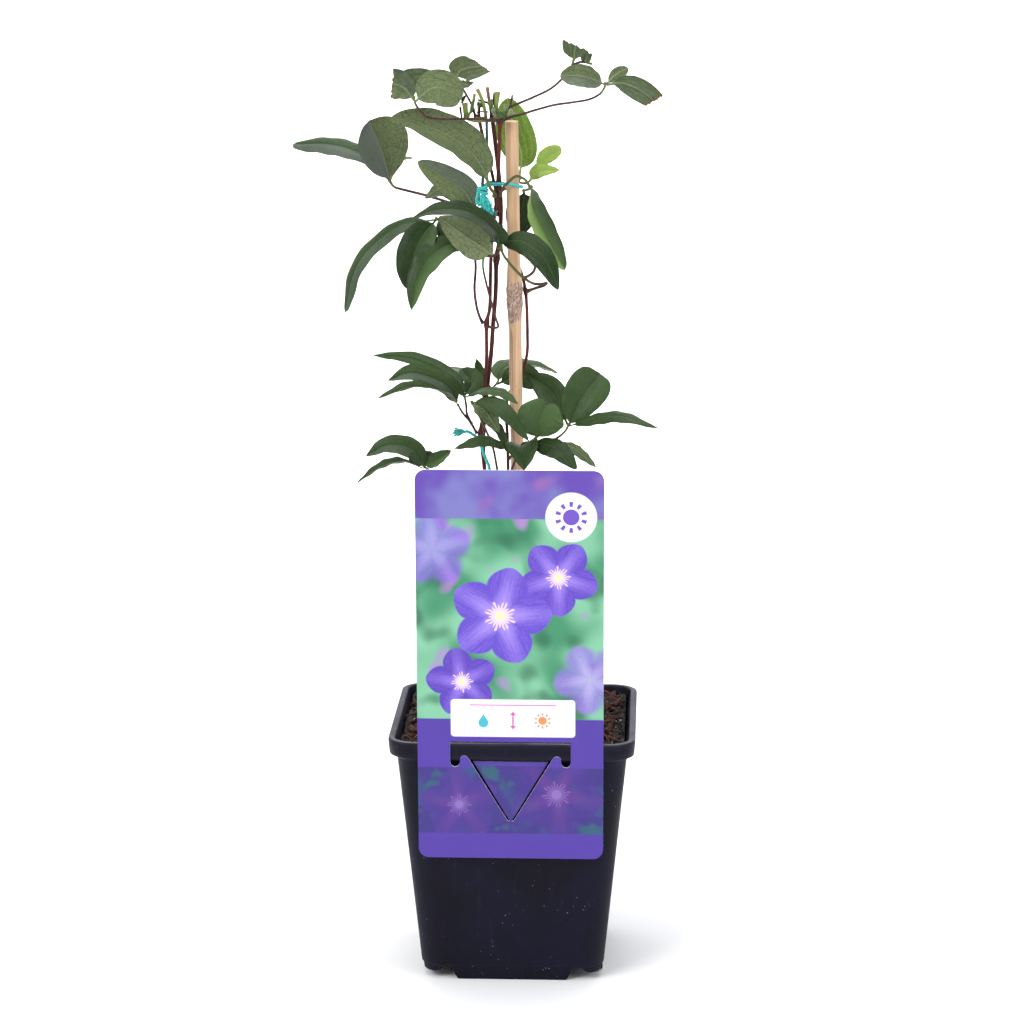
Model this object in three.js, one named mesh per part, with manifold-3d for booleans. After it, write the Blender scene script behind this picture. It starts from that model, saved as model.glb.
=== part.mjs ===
// A young clematis trained up a bamboo cane in a square nursery pot, with its picture label.
// Millimetres, +Z up, the label faces -Y. Everything is drawn round the middle of the pot and is moved
// at the end, so that the origin lies on the ground under the middle of the whole plant.
import * as THREE from 'three';
import { mergeVertices } from 'three/addons/utils/BufferGeometryUtils.js';
import Module from 'manifold-3d';

const wasm = await Module();
wasm.setup();

// Pot: square, tapered, with a standing lip and a skirt that carries it
const RIM_WIDTH = 130;
const POT_HEIGHT = 134.5;
const LIP_HEIGHT = 8.5;
const LIP_SLOPE = 1.8;
const WALL_TOP_WIDTH = 121.5;
const WALL_BOTTOM_WIDTH = 97.4;
const WALL = 1.8;
const RIM_CORNER = 14;
const BASE_CORNER = 12;
const FOOT_HEIGHT = 7;
const FOOT_WIDTH = 64;
const CORNER_FOOT_HEIGHT = 3.2;
const CORNER_FOOT_START = 41;
const CLEAR = 0.35;

// Soil: the filling and its broken surface
const SOIL_TOP = 130;
const SOIL_RELIEF = 1.6;
const CHIP_COUNT = 46;

// Cane, from its end in the soil to its sawn top
const CANE_RADIUS = 3.45;
const CANE_BOTTOM = 16;
const CANE_TOP = 453;
const CANE_NODE = 361;
const CANE_LEAN_START = 133;
const CANE_Y = 2.5;
const CANE_BOTTOM_X = 3;
const CANE_TOP_X = -2.3;

// Stems stand in straight holes down to this depth
const STEM_BOTTOM = 62;

// Label: a card with a slot for the pot's lip and a V-cut tongue under it
const CARD_WIDTH = 97;
const CARD_HEIGHT = 212.4;
const CARD_THICK = 0.6;
const CARD_CORNER = 5.5;
const CARD_LEAN = THREE.MathUtils.degToRad(5);
const CARD_X = -0.1;

// Leaf blades and the stalks that carry them
const BLADE_THICK = 0.7;
const BLADE_STEPS = 8;
const ROOT_HALF = 0.65;
const STALK_RADIUS = 0.7;
const ROOT_CLEAR = 0.6;

// How far the leaves spread towards the front and the back, and the eye the front view is drawn from
const LEAF_DEPTH = 1.5;
const EYE = [76, -1860, 627];

const COLOURS = {
  plastic: { color: 0x1c1c22, roughness: 0.55, metalness: 0 },
  soil: { color: 0x241a14, roughness: 1, metalness: 0 },
  cane: { color: 0xc8a26b, roughness: 0.6, metalness: 0 },
  redStem: { color: 0x5a231a, roughness: 0.55, metalness: 0 },
  darkStem: { color: 0x3a1d1b, roughness: 0.6, metalness: 0 },
  leaf: { color: 0x34502c, roughness: 0.5, metalness: 0 },
  youngLeaf: { color: 0x86a83a, roughness: 0.5, metalness: 0 },
  string: { color: 0x12b5b4, roughness: 0.7, metalness: 0 },
  card: { color: 0x5a3fae, roughness: 0.4, metalness: 0 },
};

// A small seeded generator, so the soil falls the same way each time
function seededRandom(seed) {
  let state = seed;
  return () => {
    state = (state * 1664525 + 1013904223) % 4294967296;
    return state / 4294967296;
  };
}

function toSolid(geometry) {
  const bare = geometry.clone();
  bare.deleteAttribute('normal');
  bare.deleteAttribute('uv');
  const merged = mergeVertices(bare, 1e-4);
  const mesh = new wasm.Mesh({
    numProp: 3,
    vertProperties: new Float32Array(merged.attributes.position.array),
    triVerts: new Uint32Array(merged.index.array),
  });
  return new wasm.Manifold(mesh);
}

function toGeometry(solid) {
  const mesh = solid.getMesh();
  const geometry = new THREE.BufferGeometry();
  geometry.setAttribute('position', new THREE.BufferAttribute(mesh.vertProperties, 3));
  geometry.setIndex(new THREE.BufferAttribute(mesh.triVerts, 1));
  geometry.computeVertexNormals();
  return geometry;
}

function fuse(geometries) {
  return geometries.map(toSolid).reduce((whole, piece) => whole.add(piece));
}

// Joins rings of equal length into a skin, with a fan on the first and the last ring
function loft(rings) {
  const count = rings[0].length;
  const positions = rings.flat().flatMap((p) => [p.x, p.y, p.z]);
  const index = [];
  for (let i = 0; i < rings.length - 1; i++) {
    for (let k = 0; k < count; k++) {
      const a = i * count + k;
      const b = i * count + ((k + 1) % count);
      index.push(a, b, b + count, a, b + count, a + count);
    }
  }
  const last = (rings.length - 1) * count;
  for (let k = 1; k < count - 1; k++) {
    index.push(0, k + 1, k);
    index.push(last, last + k, last + k + 1);
  }
  const geometry = new THREE.BufferGeometry();
  geometry.setAttribute('position', new THREE.Float32BufferAttribute(positions, 3));
  geometry.setIndex(index);
  return geometry;
}

// A level square ring with round corners
function squareRing(width, corner, z, perCorner = 5) {
  const inset = width / 2 - corner;
  const ring = [];
  for (const quarter of [0, 1, 2, 3]) {
    const middle = Math.PI / 4 + (quarter * Math.PI) / 2;
    const cx = Math.sign(Math.cos(middle)) * inset;
    const cy = Math.sign(Math.sin(middle)) * inset;
    for (let i = 0; i < perCorner; i++) {
      const angle = (quarter + i / (perCorner - 1)) * (Math.PI / 2);
      ring.push(new THREE.Vector3(cx + corner * Math.cos(angle), cy + corner * Math.sin(angle), z));
    }
  }
  return ring;
}

function wallWidth(z) {
  const share = (z - FOOT_HEIGHT) / (POT_HEIGHT - LIP_HEIGHT - FOOT_HEIGHT);
  return WALL_BOTTOM_WIDTH + (WALL_TOP_WIDTH - WALL_BOTTOM_WIDTH) * share;
}

function box(sizeX, sizeY, sizeZ, x, y, z) {
  return new THREE.BoxGeometry(sizeX, sizeY, sizeZ).translate(x, y, z);
}

function makePot() {
  const lipBottom = POT_HEIGHT - LIP_HEIGHT;
  const lipInner = WALL_TOP_WIDTH + 1.5;
  const floorTop = FOOT_HEIGHT + WALL;
  const shell = loft([
    squareRing(WALL_BOTTOM_WIDTH - 4, BASE_CORNER - 2, FOOT_HEIGHT - 0.6),
    squareRing(WALL_BOTTOM_WIDTH, BASE_CORNER, FOOT_HEIGHT + 1),
    squareRing(WALL_TOP_WIDTH, RIM_CORNER - 1.5, lipBottom - LIP_SLOPE),
    squareRing(RIM_WIDTH - 1.4, RIM_CORNER, lipBottom),
    squareRing(RIM_WIDTH, RIM_CORNER, POT_HEIGHT - 1),
    squareRing(RIM_WIDTH - 1, RIM_CORNER - 0.5, POT_HEIGHT),
    squareRing(lipInner, RIM_CORNER - 3, POT_HEIGHT),
    squareRing(lipInner - 4.5, RIM_CORNER - 4, lipBottom - 2),
    squareRing(WALL_BOTTOM_WIDTH - 2 * WALL, BASE_CORNER - WALL, floorTop),
  ]);
  const skirtOuter = loft([
    squareRing(WALL_BOTTOM_WIDTH - 1.6, BASE_CORNER - 1, 0),
    squareRing(WALL_BOTTOM_WIDTH - 0.4, BASE_CORNER, FOOT_HEIGHT + 0.6),
  ]);
  const skirtInner = loft([
    squareRing(WALL_BOTTOM_WIDTH - 8, BASE_CORNER - 4, -1),
    squareRing(WALL_BOTTOM_WIDTH - 8, BASE_CORNER - 4, FOOT_HEIGHT + 2),
  ]);
  let skirt = toSolid(skirtOuter).subtract(toSolid(skirtInner));
  const gap = CORNER_FOOT_START - FOOT_WIDTH / 2;
  const gapMiddle = (CORNER_FOOT_START + FOOT_WIDTH / 2) / 2;
  const reach = WALL_BOTTOM_WIDTH + 10;
  for (const side of [-1, 1]) {
    skirt = skirt.subtract(toSolid(box(gap, reach, 2 * FOOT_HEIGHT, side * gapMiddle, 0, -0.6)));
    skirt = skirt.subtract(toSolid(box(reach, gap, 2 * FOOT_HEIGHT, 0, side * gapMiddle, -0.6)));
    for (const end of [-1, 1]) {
      const middle = CORNER_FOOT_START + 10;
      const size = 20;
      const lift = FOOT_HEIGHT - CORNER_FOOT_HEIGHT;
      skirt = skirt.subtract(toSolid(box(size, size, 2 * lift, side * middle, end * middle, 0)));
    }
  }
  return toSolid(shell).add(skirt);
}

// Straight holes for the cane and the stems, a little wider than what stands in them
function soilHole(x, y, radius, bottom) {
  const height = POT_HEIGHT - bottom;
  const hole = new THREE.CylinderGeometry(radius, radius, height, 10).rotateX(Math.PI / 2);
  return toSolid(hole.translate(x, y, bottom + height / 2));
}

function soilHeight(x, y) {
  const swell = Math.sin(x * 0.11 + 1.3) * Math.cos(y * 0.13 - 0.4);
  const lumps = Math.sin(x * 0.37 + y * 0.21) * Math.sin(y * 0.41 - x * 0.17 + 2);
  const crown = 2.2 * Math.exp(-(x * x + y * y) / 900);
  return SOIL_TOP + SOIL_RELIEF * (0.7 * swell + 0.6 * lumps) + crown;
}

function makeSoil() {
  const bottom = FOOT_HEIGHT + WALL + CLEAR;
  const innerBottom = WALL_BOTTOM_WIDTH - 2 * WALL - 4 * CLEAR;
  const shoulder = SOIL_TOP - 3;
  const innerShoulder = wallWidth(shoulder) - 2 * WALL - 4 * CLEAR;
  const rings = [
    squareRing(innerBottom, BASE_CORNER - 2.4, bottom, 6),
    squareRing(innerShoulder, RIM_CORNER - 4.4, shoulder, 6),
  ];
  for (const share of [0.985, 0.87, 0.74, 0.6, 0.45, 0.3, 0.15]) {
    const ring = squareRing(innerShoulder * share, (RIM_CORNER - 4.4) * share, 0, 6);
    ring.forEach((p) => {
      p.z = soilHeight(p.x, p.y) - (share > 0.9 ? 1.4 : 0);
    });
    rings.push(ring);
  }
  let soil = toSolid(loft(rings));
  const random = seededRandom(11);
  const reach = innerShoulder / 2 - 6;
  for (let i = 0; i < CHIP_COUNT; i++) {
    const x = (random() * 2 - 1) * reach;
    const y = (random() * 2 - 1) * reach;
    const length = 3 + random() * 5;
    if (Math.hypot(x + 1, y - 1) < 16) continue;
    const chip = new THREE.BoxGeometry(length, 1.6 + random() * 1.6, 1.4 + random());
    chip.rotateY((random() - 0.5) * 0.7);
    chip.rotateZ(random() * Math.PI);
    chip.translate(x, y, soilHeight(x, y) + 0.1);
    soil = soil.add(toSolid(chip));
  }
  soil = soil.subtract(soilHole(caneX(CANE_BOTTOM), CANE_Y, CANE_RADIUS + 0.5, CANE_BOTTOM - 0.4));
  for (const stem of STEMS) {
    const [x, y] = stem.path[0];
    soil = soil.subtract(soilHole(x, y, stem.radius + 0.45, STEM_BOTTOM - 0.4));
  }
  return soil;
}

// The cane stands upright in the soil and leans a little to the left above it
function caneX(z) {
  const rise = Math.max(0, z - CANE_LEAN_START) / (CANE_TOP - CANE_LEAN_START);
  return CANE_BOTTOM_X + (CANE_TOP_X - CANE_BOTTOM_X) * rise;
}

function makeCane() {
  const r = CANE_RADIUS;
  const profile = [
    [0, CANE_BOTTOM], [r, CANE_BOTTOM], [r, SOIL_TOP + 10], [r + 0.1, 240],
    [r, CANE_NODE - 22], [r + 0.2, CANE_NODE - 9], [r + 0.95, CANE_NODE - 4],
    [r + 0.8, CANE_NODE + 2], [r + 0.35, CANE_NODE + 8], [r - 0.1, CANE_NODE + 22],
    [r, 420], [r, CANE_TOP - 0.6], [r - 0.5, CANE_TOP], [0, CANE_TOP],
  ];
  const cane = new THREE.LatheGeometry(profile.map(([x, y]) => new THREE.Vector2(x, y)), 14);
  cane.rotateX(Math.PI / 2);
  const position = cane.attributes.position;
  for (let i = 0; i < position.count; i++) {
    position.setX(i, position.getX(i) + caneX(position.getZ(i)));
    position.setY(i, position.getY(i) + CANE_Y);
  }
  return toSolid(cane);
}

function curveThrough(points) {
  const vectors = points.map((p) => new THREE.Vector3(...p));
  return new THREE.CatmullRomCurve3(vectors, false, 'catmullrom', 0.5);
}

function rod(points, radius, sides = 6, step = 5) {
  const path = curveThrough(points);
  const steps = Math.max(2, Math.round(path.getLength() / step));
  const corners = [];
  for (let i = 0; i < sides; i++) {
    const angle = (2 * Math.PI * i) / sides;
    corners.push(new THREE.Vector2(radius * Math.cos(angle), radius * Math.sin(angle)));
  }
  return new THREE.ExtrudeGeometry(new THREE.Shape(corners), { steps, extrudePath: path, bevelEnabled: false });
}

function bead(x, y, z, radius, stretch = 1) {
  return new THREE.SphereGeometry(radius, 6, 4).rotateX(Math.PI / 2).scale(1, 1, stretch).translate(x, y, z);
}

// Half the width of a blade at a share t of its length: ovate, widest at the belly
function halfWidth(t, leaflet) {
  const { width, belly = 0.42, full = 0.65, stalk = 0.1 } = leaflet;
  const share = (t - stalk) / (1 - stalk);
  if (share <= 0 || share >= 1) return ROOT_HALF;
  const tail = (full * (1 - belly)) / belly;
  const swell = Math.pow(share / belly, full) * Math.pow((1 - share) / (1 - belly), tail);
  return Math.max(ROOT_HALF, (width / 2) * swell);
}

// One leaflet: a thin blade folded along its rib, its upper side turned to "face"
function blade(leaflet) {
  const { spine, face, fold = 10, cut = 1, wave = 0, notch = 0, slant = 0 } = leaflet;
  const rib = curveThrough(spine);
  const towards = new THREE.Vector3(...face);
  const slope = THREE.MathUtils.degToRad(fold);
  const rings = [];
  for (let i = 0; i <= BLADE_STEPS; i++) {
    const t = (cut * i) / BLADE_STEPS;
    const point = rib.getPoint(t);
    const along = rib.getTangent(t);
    const side = new THREE.Vector3().crossVectors(along, towards).normalize();
    const up = new THREE.Vector3().crossVectors(side, along).normalize();
    const half = halfWidth(t, leaflet);
    const ripple = wave * Math.sin(t * 19 + spine[0][0]);
    const ahead = notch * Math.pow(t, 5);
    const tilt = slant * THREE.MathUtils.smoothstep(i / BLADE_STEPS, 0.6, 1);
    const across = (reach, lift) =>
      point.clone().addScaledVector(side, reach).addScaledVector(up, lift)
        .addScaledVector(along, reach === 0 ? 0 : ahead + tilt * Math.sign(reach));
    const reach = half * Math.cos(slope);
    const rise = half * Math.sin(slope);
    const thick = BLADE_THICK / 2;
    rings.push([
      across(-reach, rise + ripple + thick), across(0, thick), across(reach, rise - ripple + thick),
      across(reach, rise - ripple - thick), across(0, -thick), across(-reach, rise + ripple - thick),
    ]);
  }
  return skinBlade(rings);
}

// Both faces of a blade are split along the same diagonals, so they never cross
function skinBlade(rings) {
  const positions = rings.flat().flatMap((p) => [p.x, p.y, p.z]);
  const index = [];
  for (let i = 0; i < rings.length - 1; i++) {
    for (let k = 0; k < 6; k++) {
      const a = i * 6 + k;
      const b = i * 6 + ((k + 1) % 6);
      if (k === 3 || k === 4) index.push(a, b, a + 6, b, b + 6, a + 6);
      else index.push(a, b + 6, a + 6, a, b, b + 6);
    }
  }
  const last = (rings.length - 1) * 6;
  index.push(0, 4, 1, 0, 5, 4, 1, 3, 2, 1, 4, 3);
  index.push(last, last + 1, last + 4, last, last + 4, last + 5);
  index.push(last + 1, last + 2, last + 3, last + 1, last + 3, last + 4);
  const geometry = new THREE.BufferGeometry();
  geometry.setAttribute('position', new THREE.Float32BufferAttribute(positions, 3));
  geometry.setIndex(index);
  return geometry;
}

// Moves a point to a new depth along its line of sight, so the leaf keeps its outline from the front
function moveToDepth([x, y, z], newY) {
  const share = (newY - y) / (y - EYE[1]);
  return [x + (x - EYE[0]) * share, newY, z + (z - EYE[2]) * share];
}

// "swing" is how far a leaf goes back for each millimetre it goes sideways from its stem
function makeLeaf({ stalks, leaflets, swing = 0 }) {
  const [rootX, rootY] = stalks[0][0];
  const place = (p) => moveToDepth(p, rootY + (p[1] - rootY) * LEAF_DEPTH + Math.abs(p[0] - rootX) * swing);
  const rods = stalks.map((points) => rod(points.map(place), STALK_RADIUS, 5, 6));
  const blades = leaflets.map((leaflet) => blade({ ...leaflet, spine: leaflet.spine.map(place) }));
  return fuse([...rods, ...blades]);
}

// Stems: the path of each, the heights where it swells at a node, and the cut stubs it carries
const STEMS = [
  {
    name: 'stem_red', colour: 'redStem', radius: 0.95,
    path: [
      [-8, 0, STEM_BOTTOM], [-8, 0, 100], [-8, 0, 130], [-10, -1, 160], [-14, -3, 220], [-16, -4, 262],
      [-17.3, -4.5, 276], [-18.5, -4.5, 288], [-17.6, -4.5, 295], [-16.2, -4.5, 304], [-16, -4.5, 316],
      [-15.2, -4.5, 330], [-15.2, -4.5, 347], [-13.6, -4.5, 355], [-13.2, -4.5, 368], [-12.9, -4.5, 381],
      [-12, -4, 396], [-10, -3, 412], [-8.9, -3, 430], [-8.3, -3.5, 445], [-8, -4, 455],
    ],
    nodes: [[288, 1.7], [347, 1.6], [414, 1.6], [454, 1.9]],
    stubs: [
      { path: [[-8, -4, 454], [-14, -4, 453.6], [-21, -3, 453.4], [-26.5, -2, 455]], radius: 0.9 },
      { path: [[-25.8, -2.4, 454.2], [-26.1, -2.5, 458.8], [-26.5, -2.5, 462.7]], radius: 1.5 },
      { path: [[-15.4, -3.8, 453.6], [-15.9, -2.8, 458], [-17.2, -3.4, 464], [-20, -3.5, 470]], radius: 0.95 },
      { path: [[-9, -4, 454], [-10.2, -4, 459], [-9.8, -4, 464], [-9.3, -4, 468.6]], radius: 1.4 },
      { path: [[-7.4, -4, 454], [-6.2, -4.6, 457], [-5.5, -4.8, 462]], radius: 0.9 },
      { path: [[-7, -4, 454.6], [-3.6, -4, 459], [-1.6, -4, 465.5]], radius: 0.6 },
      { path: [[-25, -2.6, 454.6], [-24.1, -3, 457], [-22.6, -3.4, 461], [-21.3, -3.6, 467.4]], radius: 0.75 },
    ],
  },
  {
    name: 'stem_dark', colour: 'darkStem', radius: 1.15,
    path: [
      [-3, 8, STEM_BOTTOM], [-3, 8, 100], [-3, 8, 130], [-6, 7, 165], [-12, 4, 220], [-16.6, 1.5, 266],
      [-17.2, 0.5, 288], [-16, 0, 304], [-14.4, -0.5, 318], [-12.8, -0.8, 333], [-11.9, -0.8, 347],
      [-10.9, -0.8, 358], [-10.4, -0.8, 368], [-10.2, 0, 380], [-8.6, 1.5, 392], [-8, 3, 402],
      [-8.2, 4, 413], [-9.3, 4, 427], [-10.7, 3.4, 440], [-12.4, 2.4, 454],
    ],
    nodes: [[381, 1.9]],
    stubs: [{ path: [[-12.2, 2.4, 452], [-13.6, 2, 461], [-15, 2, 470.5]], radius: 0.95 }],
  },
  {
    name: 'stem_back', colour: 'redStem', radius: 0.85,
    path: [
      [-2, -4.5, STEM_BOTTOM], [-2, -4.5, 100], [-2, -4.5, 130], [-2.5, -4.5, 180], [-3, -4, 240],
      [-3.9, -3.6, 270], [-4.3, -3, 286], [-5, 0, 297], [-4.6, 5, 306], [-1, 8.2, 313], [3.4, 8, 320],
      [5.8, 5.6, 330], [6, 4, 342], [5.7, 3.6, 354], [4.8, 5, 364], [2.4, 8, 373], [-2, 9.2, 381],
      [-6.5, 8.4, 391], [-9, 8.5, 403], [-11, 8.5, 416], [-14, 7, 430], [-17, 4, 443], [-19.6, 2, 455],
    ],
    nodes: [[363, 1.3], [454, 1.3]],
    stubs: [{ path: [[-19.6, 2, 454], [-19.6, 2, 463]], radius: 0.7 }],
  },
];

// The height, size and place of a node on its stem
function stemPoint(stem, z) {
  const axis = curveThrough(stem.path);
  let low = 0;
  let high = 1;
  while (high - low > 1e-5) {
    const middle = (low + high) / 2;
    if (axis.getPoint(middle).z < z) low = middle;
    else high = middle;
  }
  return axis.getPoint(low);
}

// Where a stalk starts: beside its stem at a height, on the side of a bearing in degrees from +X
function rootOn(stemName, z, bearing) {
  const stem = STEMS.find(({ name }) => name === stemName);
  const swelling = stem.nodes.find(([height, size]) => Math.abs(height - z) < size);
  const reach = (swelling ? swelling[1] : stem.radius) + ROOT_CLEAR;
  const angle = THREE.MathUtils.degToRad(bearing);
  const start = stemPoint(stem, z);
  return [start.x + reach * Math.cos(angle), start.y + reach * Math.sin(angle), z];
}

function makeStem(stem) {
  const swellings = stem.nodes.map(([z, size]) => {
    const { x, y } = stemPoint(stem, z);
    return bead(x, y, z, size, 1.2);
  });
  const stubs = stem.stubs.map((stub) => rod(stub.path, stub.radius, 5, 5));
  return fuse([rod(stem.path, stem.radius, 6, 9), ...swellings, ...stubs]);
}

// Compound leaves. Each has the stalks that carry it and its leaflets; a spine runs from root to tip.
const LEAVES = [
  {
    name: 'leaf_top_left',
    swing: -0.3,
    stalks: [
      [rootOn('stem_red', 454, 235), [-20, -9, 455], [-42, -12, 455.5], [-48, -13, 458.5],
        [-51.5, -13, 463], [-52.5, -12, 467]],
    ],
    leaflets: [
      { spine: [[-52.5, -12, 465], [-58, -9, 471], [-68.5, -6, 474]], width: 17,
        face: [-0.2, -0.8, 0.5], cut: 0.8, belly: 0.6, full: 0.55, slant: 1.5 },
      { spine: [[-52.5, -11.5, 466], [-56, -8, 472.5], [-47, -6, 474], [-31, -5, 471.5]], width: 15,
        face: [0, -0.9, 0.4], belly: 0.45, full: 0.55 },
      { spine: [[-52, -13, 464], [-40.5, -18, 472], [-27, -20, 466.5]], width: 19, face: [0.1, -1, 0.2],
        fold: 6, belly: 0.55, full: 0.5 },
    ],
  },
  {
    name: 'leaf_top_tuft',
    stalks: [[rootOn('stem_back', 454, 180), [-23, 3, 461], [-31.5, 5, 475.5]]],
    leaflets: [
      { spine: [[-31.5, 5, 475], [-27.5, 4, 479.5], [-13.5, 1, 482]], width: 14.5, face: [0, -1, 0.2],
        cut: 0.88, belly: 0.4, full: 0.5, slant: 4 },
      { spine: [[-31.5, 5, 474.5], [-27, 4, 471.5], [-22, 3, 473]], width: 5, face: [0, -0.7, 0.6] },
    ],
  },
  {
    name: 'leaf_top_right_upper',
    swing: 0.45,
    stalks: [
      [[-2.7, -5.6, 461.2], [3, -7, 463.5], [10, -7, 466.5], [18, -8, 470.5], [24, -8, 475.5],
        [28.6, -8, 481], [30.5, -8, 486.5]],
      [[29.4, -8, 482.8], [34, -8, 484.5], [39.5, -8, 483.6]],
    ],
    leaflets: [
      { spine: [[30.5, -8, 485.5], [31, -9, 491], [32.5, -10, 502]], width: 14.5, face: [0, -1, 0.1],
        cut: 0.62, belly: 0.62, full: 1.2, stalk: 0, slant: -2.3 },
      { spine: [[36, -8, 484], [37, -9, 488], [38, -9, 492.4]], width: 6, face: [-0.2, -1, 0],
        cut: 0.68, belly: 0.5, full: 0.3, stalk: 0 },
    ],
  },
  {
    name: 'leaf_top_right_lower',
    swing: -0.25,
    stalks: [
      [rootOn('stem_red', 454, 295), [-2, -8, 456], [3, -8.6, 457.4], [10, -9.4, 459.6], [20, -10, 462.4],
        [30, -11, 464], [38, -11, 465.4], [43.5, -11, 468], [46, -11, 471], [47, -11, 474.5]],
    ],
    leaflets: [
      { spine: [[47, -11, 473], [36, -16, 477.5], [23.5, -19, 478]], width: 13.5,
        face: [0.1, -0.8, 0.5], fold: 12, belly: 0.5, full: 0.55 },
      { spine: [[47.5, -11, 473.5], [52.5, -7, 478], [58.5, -3, 481]], width: 7, face: [0.2, -0.9, 0.2],
        belly: 0.5 },
      { spine: [[47.5, -11, 473], [55.5, -13, 474], [65, -15, 470.5], [76.5, -17, 462]], width: 12,
        face: [-0.1, -1, 0.15], cut: 0.88, belly: 0.62, stalk: 0.16, slant: -2 },
    ],
  },
  {
    name: 'leaf_young',
    swing: 0.5,
    stalks: [
      [rootOn('stem_back', 415, 20), [-6, 10.6, 416.4], [-2, 12, 419], [1.5, 13, 421], [1.5, 14, 424]],
      [[-1, 12.4, 420.4], [4, 12, 419.4], [7, 12, 421], [10.5, 12, 429.5]],
    ],
    leaflets: [
      { spine: [[1.5, 14, 423.5], [2.5, 14, 434], [-1.5, 15, 448], [-5, 14, 464]], width: 20.5,
        face: [-0.1, -1, 0.1], belly: 0.5, full: 0.55, stalk: 0.14 },
      { spine: [[9.8, 12, 427], [15, 13, 433.5], [23.5, 14, 437.4]],
        width: 9, face: [0.2, -1, -0.1], belly: 0.55 },
      { spine: [[6.8, 11.6, 420.4], [12, 10, 426], [23, 9, 426.8]], width: 8, face: [0, -0.9, 0.4],
        belly: 0.4 },
    ],
  },
  {
    name: 'leaf_upper_left',
    swing: -0.15,
    stalks: [[rootOn('stem_red', 414.5, 235), [-10.5, -6.5, 415.5], [-13, -7.5, 419], [-15, -8, 424.5]]],
    leaflets: [
      { spine: [[-14.5, -8, 423.5], [-19.5, -9, 433.5], [-28.5, -10, 442.5], [-39.5, -10.5, 448.5],
        [-51.5, -10.5, 453.5], [-65, -10, 455]], width: 24, face: [0.4, -0.74, 0.5], fold: 25,
        belly: 0.42, full: 0.5, stalk: 0.04, wave: 0.4 },
    ],
  },
  {
    name: 'leaf_left_arm',
    swing: 0.32,
    stalks: [
      [rootOn('stem_dark', 404, 180), [-14, 4.4, 404], [-20, 5, 405.5], [-31, 5, 408.5], [-47, 4, 413.5],
        [-60, 2, 417], [-64, 1, 418.5], [-66.5, 0, 422]],
    ],
    leaflets: [
      { spine: [[-66, 0.4, 421.5], [-81, 3, 435], [-98.5, 6, 440], [-118, 8, 439.5]], width: 15,
        face: [0, -0.57, 0.82], fold: -10, belly: 0.5, full: 0.5, stalk: 0.2 },
      { spine: [[-66, 0.4, 421.5], [-70, -4, 438.5], [-76, -8, 454]], width: 33,
        face: [0.49, -0.85, 0.19], fold: 22, belly: 0.6, full: 0.7, stalk: 0.06 },
      { spine: [[-66, 0.4, 421.5], [-62, 8, 431.5], [-54.5, 12, 432.5]], width: 6, face: [0, -0.4, 1] },
    ],
  },
  {
    name: 'leaf_left_middle',
    stalks: [[rootOn('stem_red', 399, 230), [-17, -4.8, 401.5], [-21, -4, 406.5]]],
    leaflets: [
      { spine: [[-21, -4, 405.5], [-25.5, -4, 415.5], [-36, -4.4, 423], [-51, -5, 432.5]], width: 16,
        face: [-0.1, -0.95, 0.3], fold: 14, belly: 0.45, full: 0.5 },
      { spine: [[-21, -3.6, 405.5], [-37, 0, 417], [-48, 1, 412.4]],
        width: 9, face: [0, -0.8, 0.6], fold: 6 },
    ],
  },
  {
    name: 'leaf_left_front',
    swing: -0.2,
    stalks: [
      [rootOn('stem_red', 346, 290), [-12.3, -8, 345.6], [-9, -7.6, 346], [-10.6, -8, 352], [-14.6, -9, 367],
        [-16.8, -10, 378], [-16, -12, 384.5]],
      [[-16, -12, 384], [-11, -13, 384], [-8, -14, 387], [-8.5, -14, 388.5]],
    ],
    leaflets: [
      { spine: [[-8.5, -14, 387], [-9.5, -16, 396.5], [-23, -21, 407.5], [-39.5, -24, 409.5],
        [-54.5, -25, 404]], width: 17, face: [0, -0.55, 0.85], fold: 4, belly: 0.34, full: 0.6,
        stalk: 0.1 },
      { spine: [[-10.5, -12.5, 384], [-21.5, -15, 392], [-39.5, -18, 405]], width: 16,
        face: [-0.1, -0.85, 0.4], fold: 8, belly: 0.45, wave: 0.5 },
    ],
  },
  {
    name: 'leaf_left_arching',
    stalks: [
      [rootOn('stem_red', 347.5, 205), [-18.8, -6.4, 351], [-20.4, -7, 357], [-21.4, -7, 366], [-20.8, -7, 379],
        [-23, -7.5, 387.5], [-31, -7, 399], [-42, -8, 403]],
    ],
    leaflets: [
      { spine: [[-41, -8, 402.5], [-62.5, -6, 397.5], [-83, -2, 378], [-90.5, 2, 351.5]], width: 13,
        face: [-0.45, -0.6, 0.65], fold: -8, belly: 0.5, full: 0.5 },
      { spine: [[-41, -8, 402.5], [-48, -12, 394.5], [-53.5, -15, 382], [-55.5, -17, 366.5]], width: 19,
        face: [-0.3, -0.9, 0.3], fold: 12, belly: 0.45, full: 0.5 },
      { spine: [[-24.5, -7.5, 387], [-34, -14, 390], [-44, -19, 383.5], [-50.5, -22, 372.5],
        [-53.5, -24, 356.5]], width: 16, face: [-0.3, -0.85, 0.5], fold: 8, belly: 0.4, full: 0.55,
        wave: 0.5 },
      { spine: [[-24.5, -7.5, 387], [-33, -9, 395.5], [-40, -10, 402]], width: 14,
        face: [-0.3, -0.85, 0.4], belly: 0.5, full: 0.55 },
    ],
  },
  {
    name: 'leaf_right_front',
    stalks: [
      [rootOn('stem_back', 363.4, 315), [9, -1, 365], [12, -4, 366.4], [15, -5.4, 367.6], [16.4, -6.6, 369],
        [14, -8, 368.8], [9, -7, 369], [3, -7, 373], [-3, -7.5, 379.5], [-6.6, -8, 385], [-7.6, -8, 391]],
      [[4.6, -7, 371.6], [9, -8, 374.5], [10.4, -9, 378], [8.4, -9, 380.5]],
    ],
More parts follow.
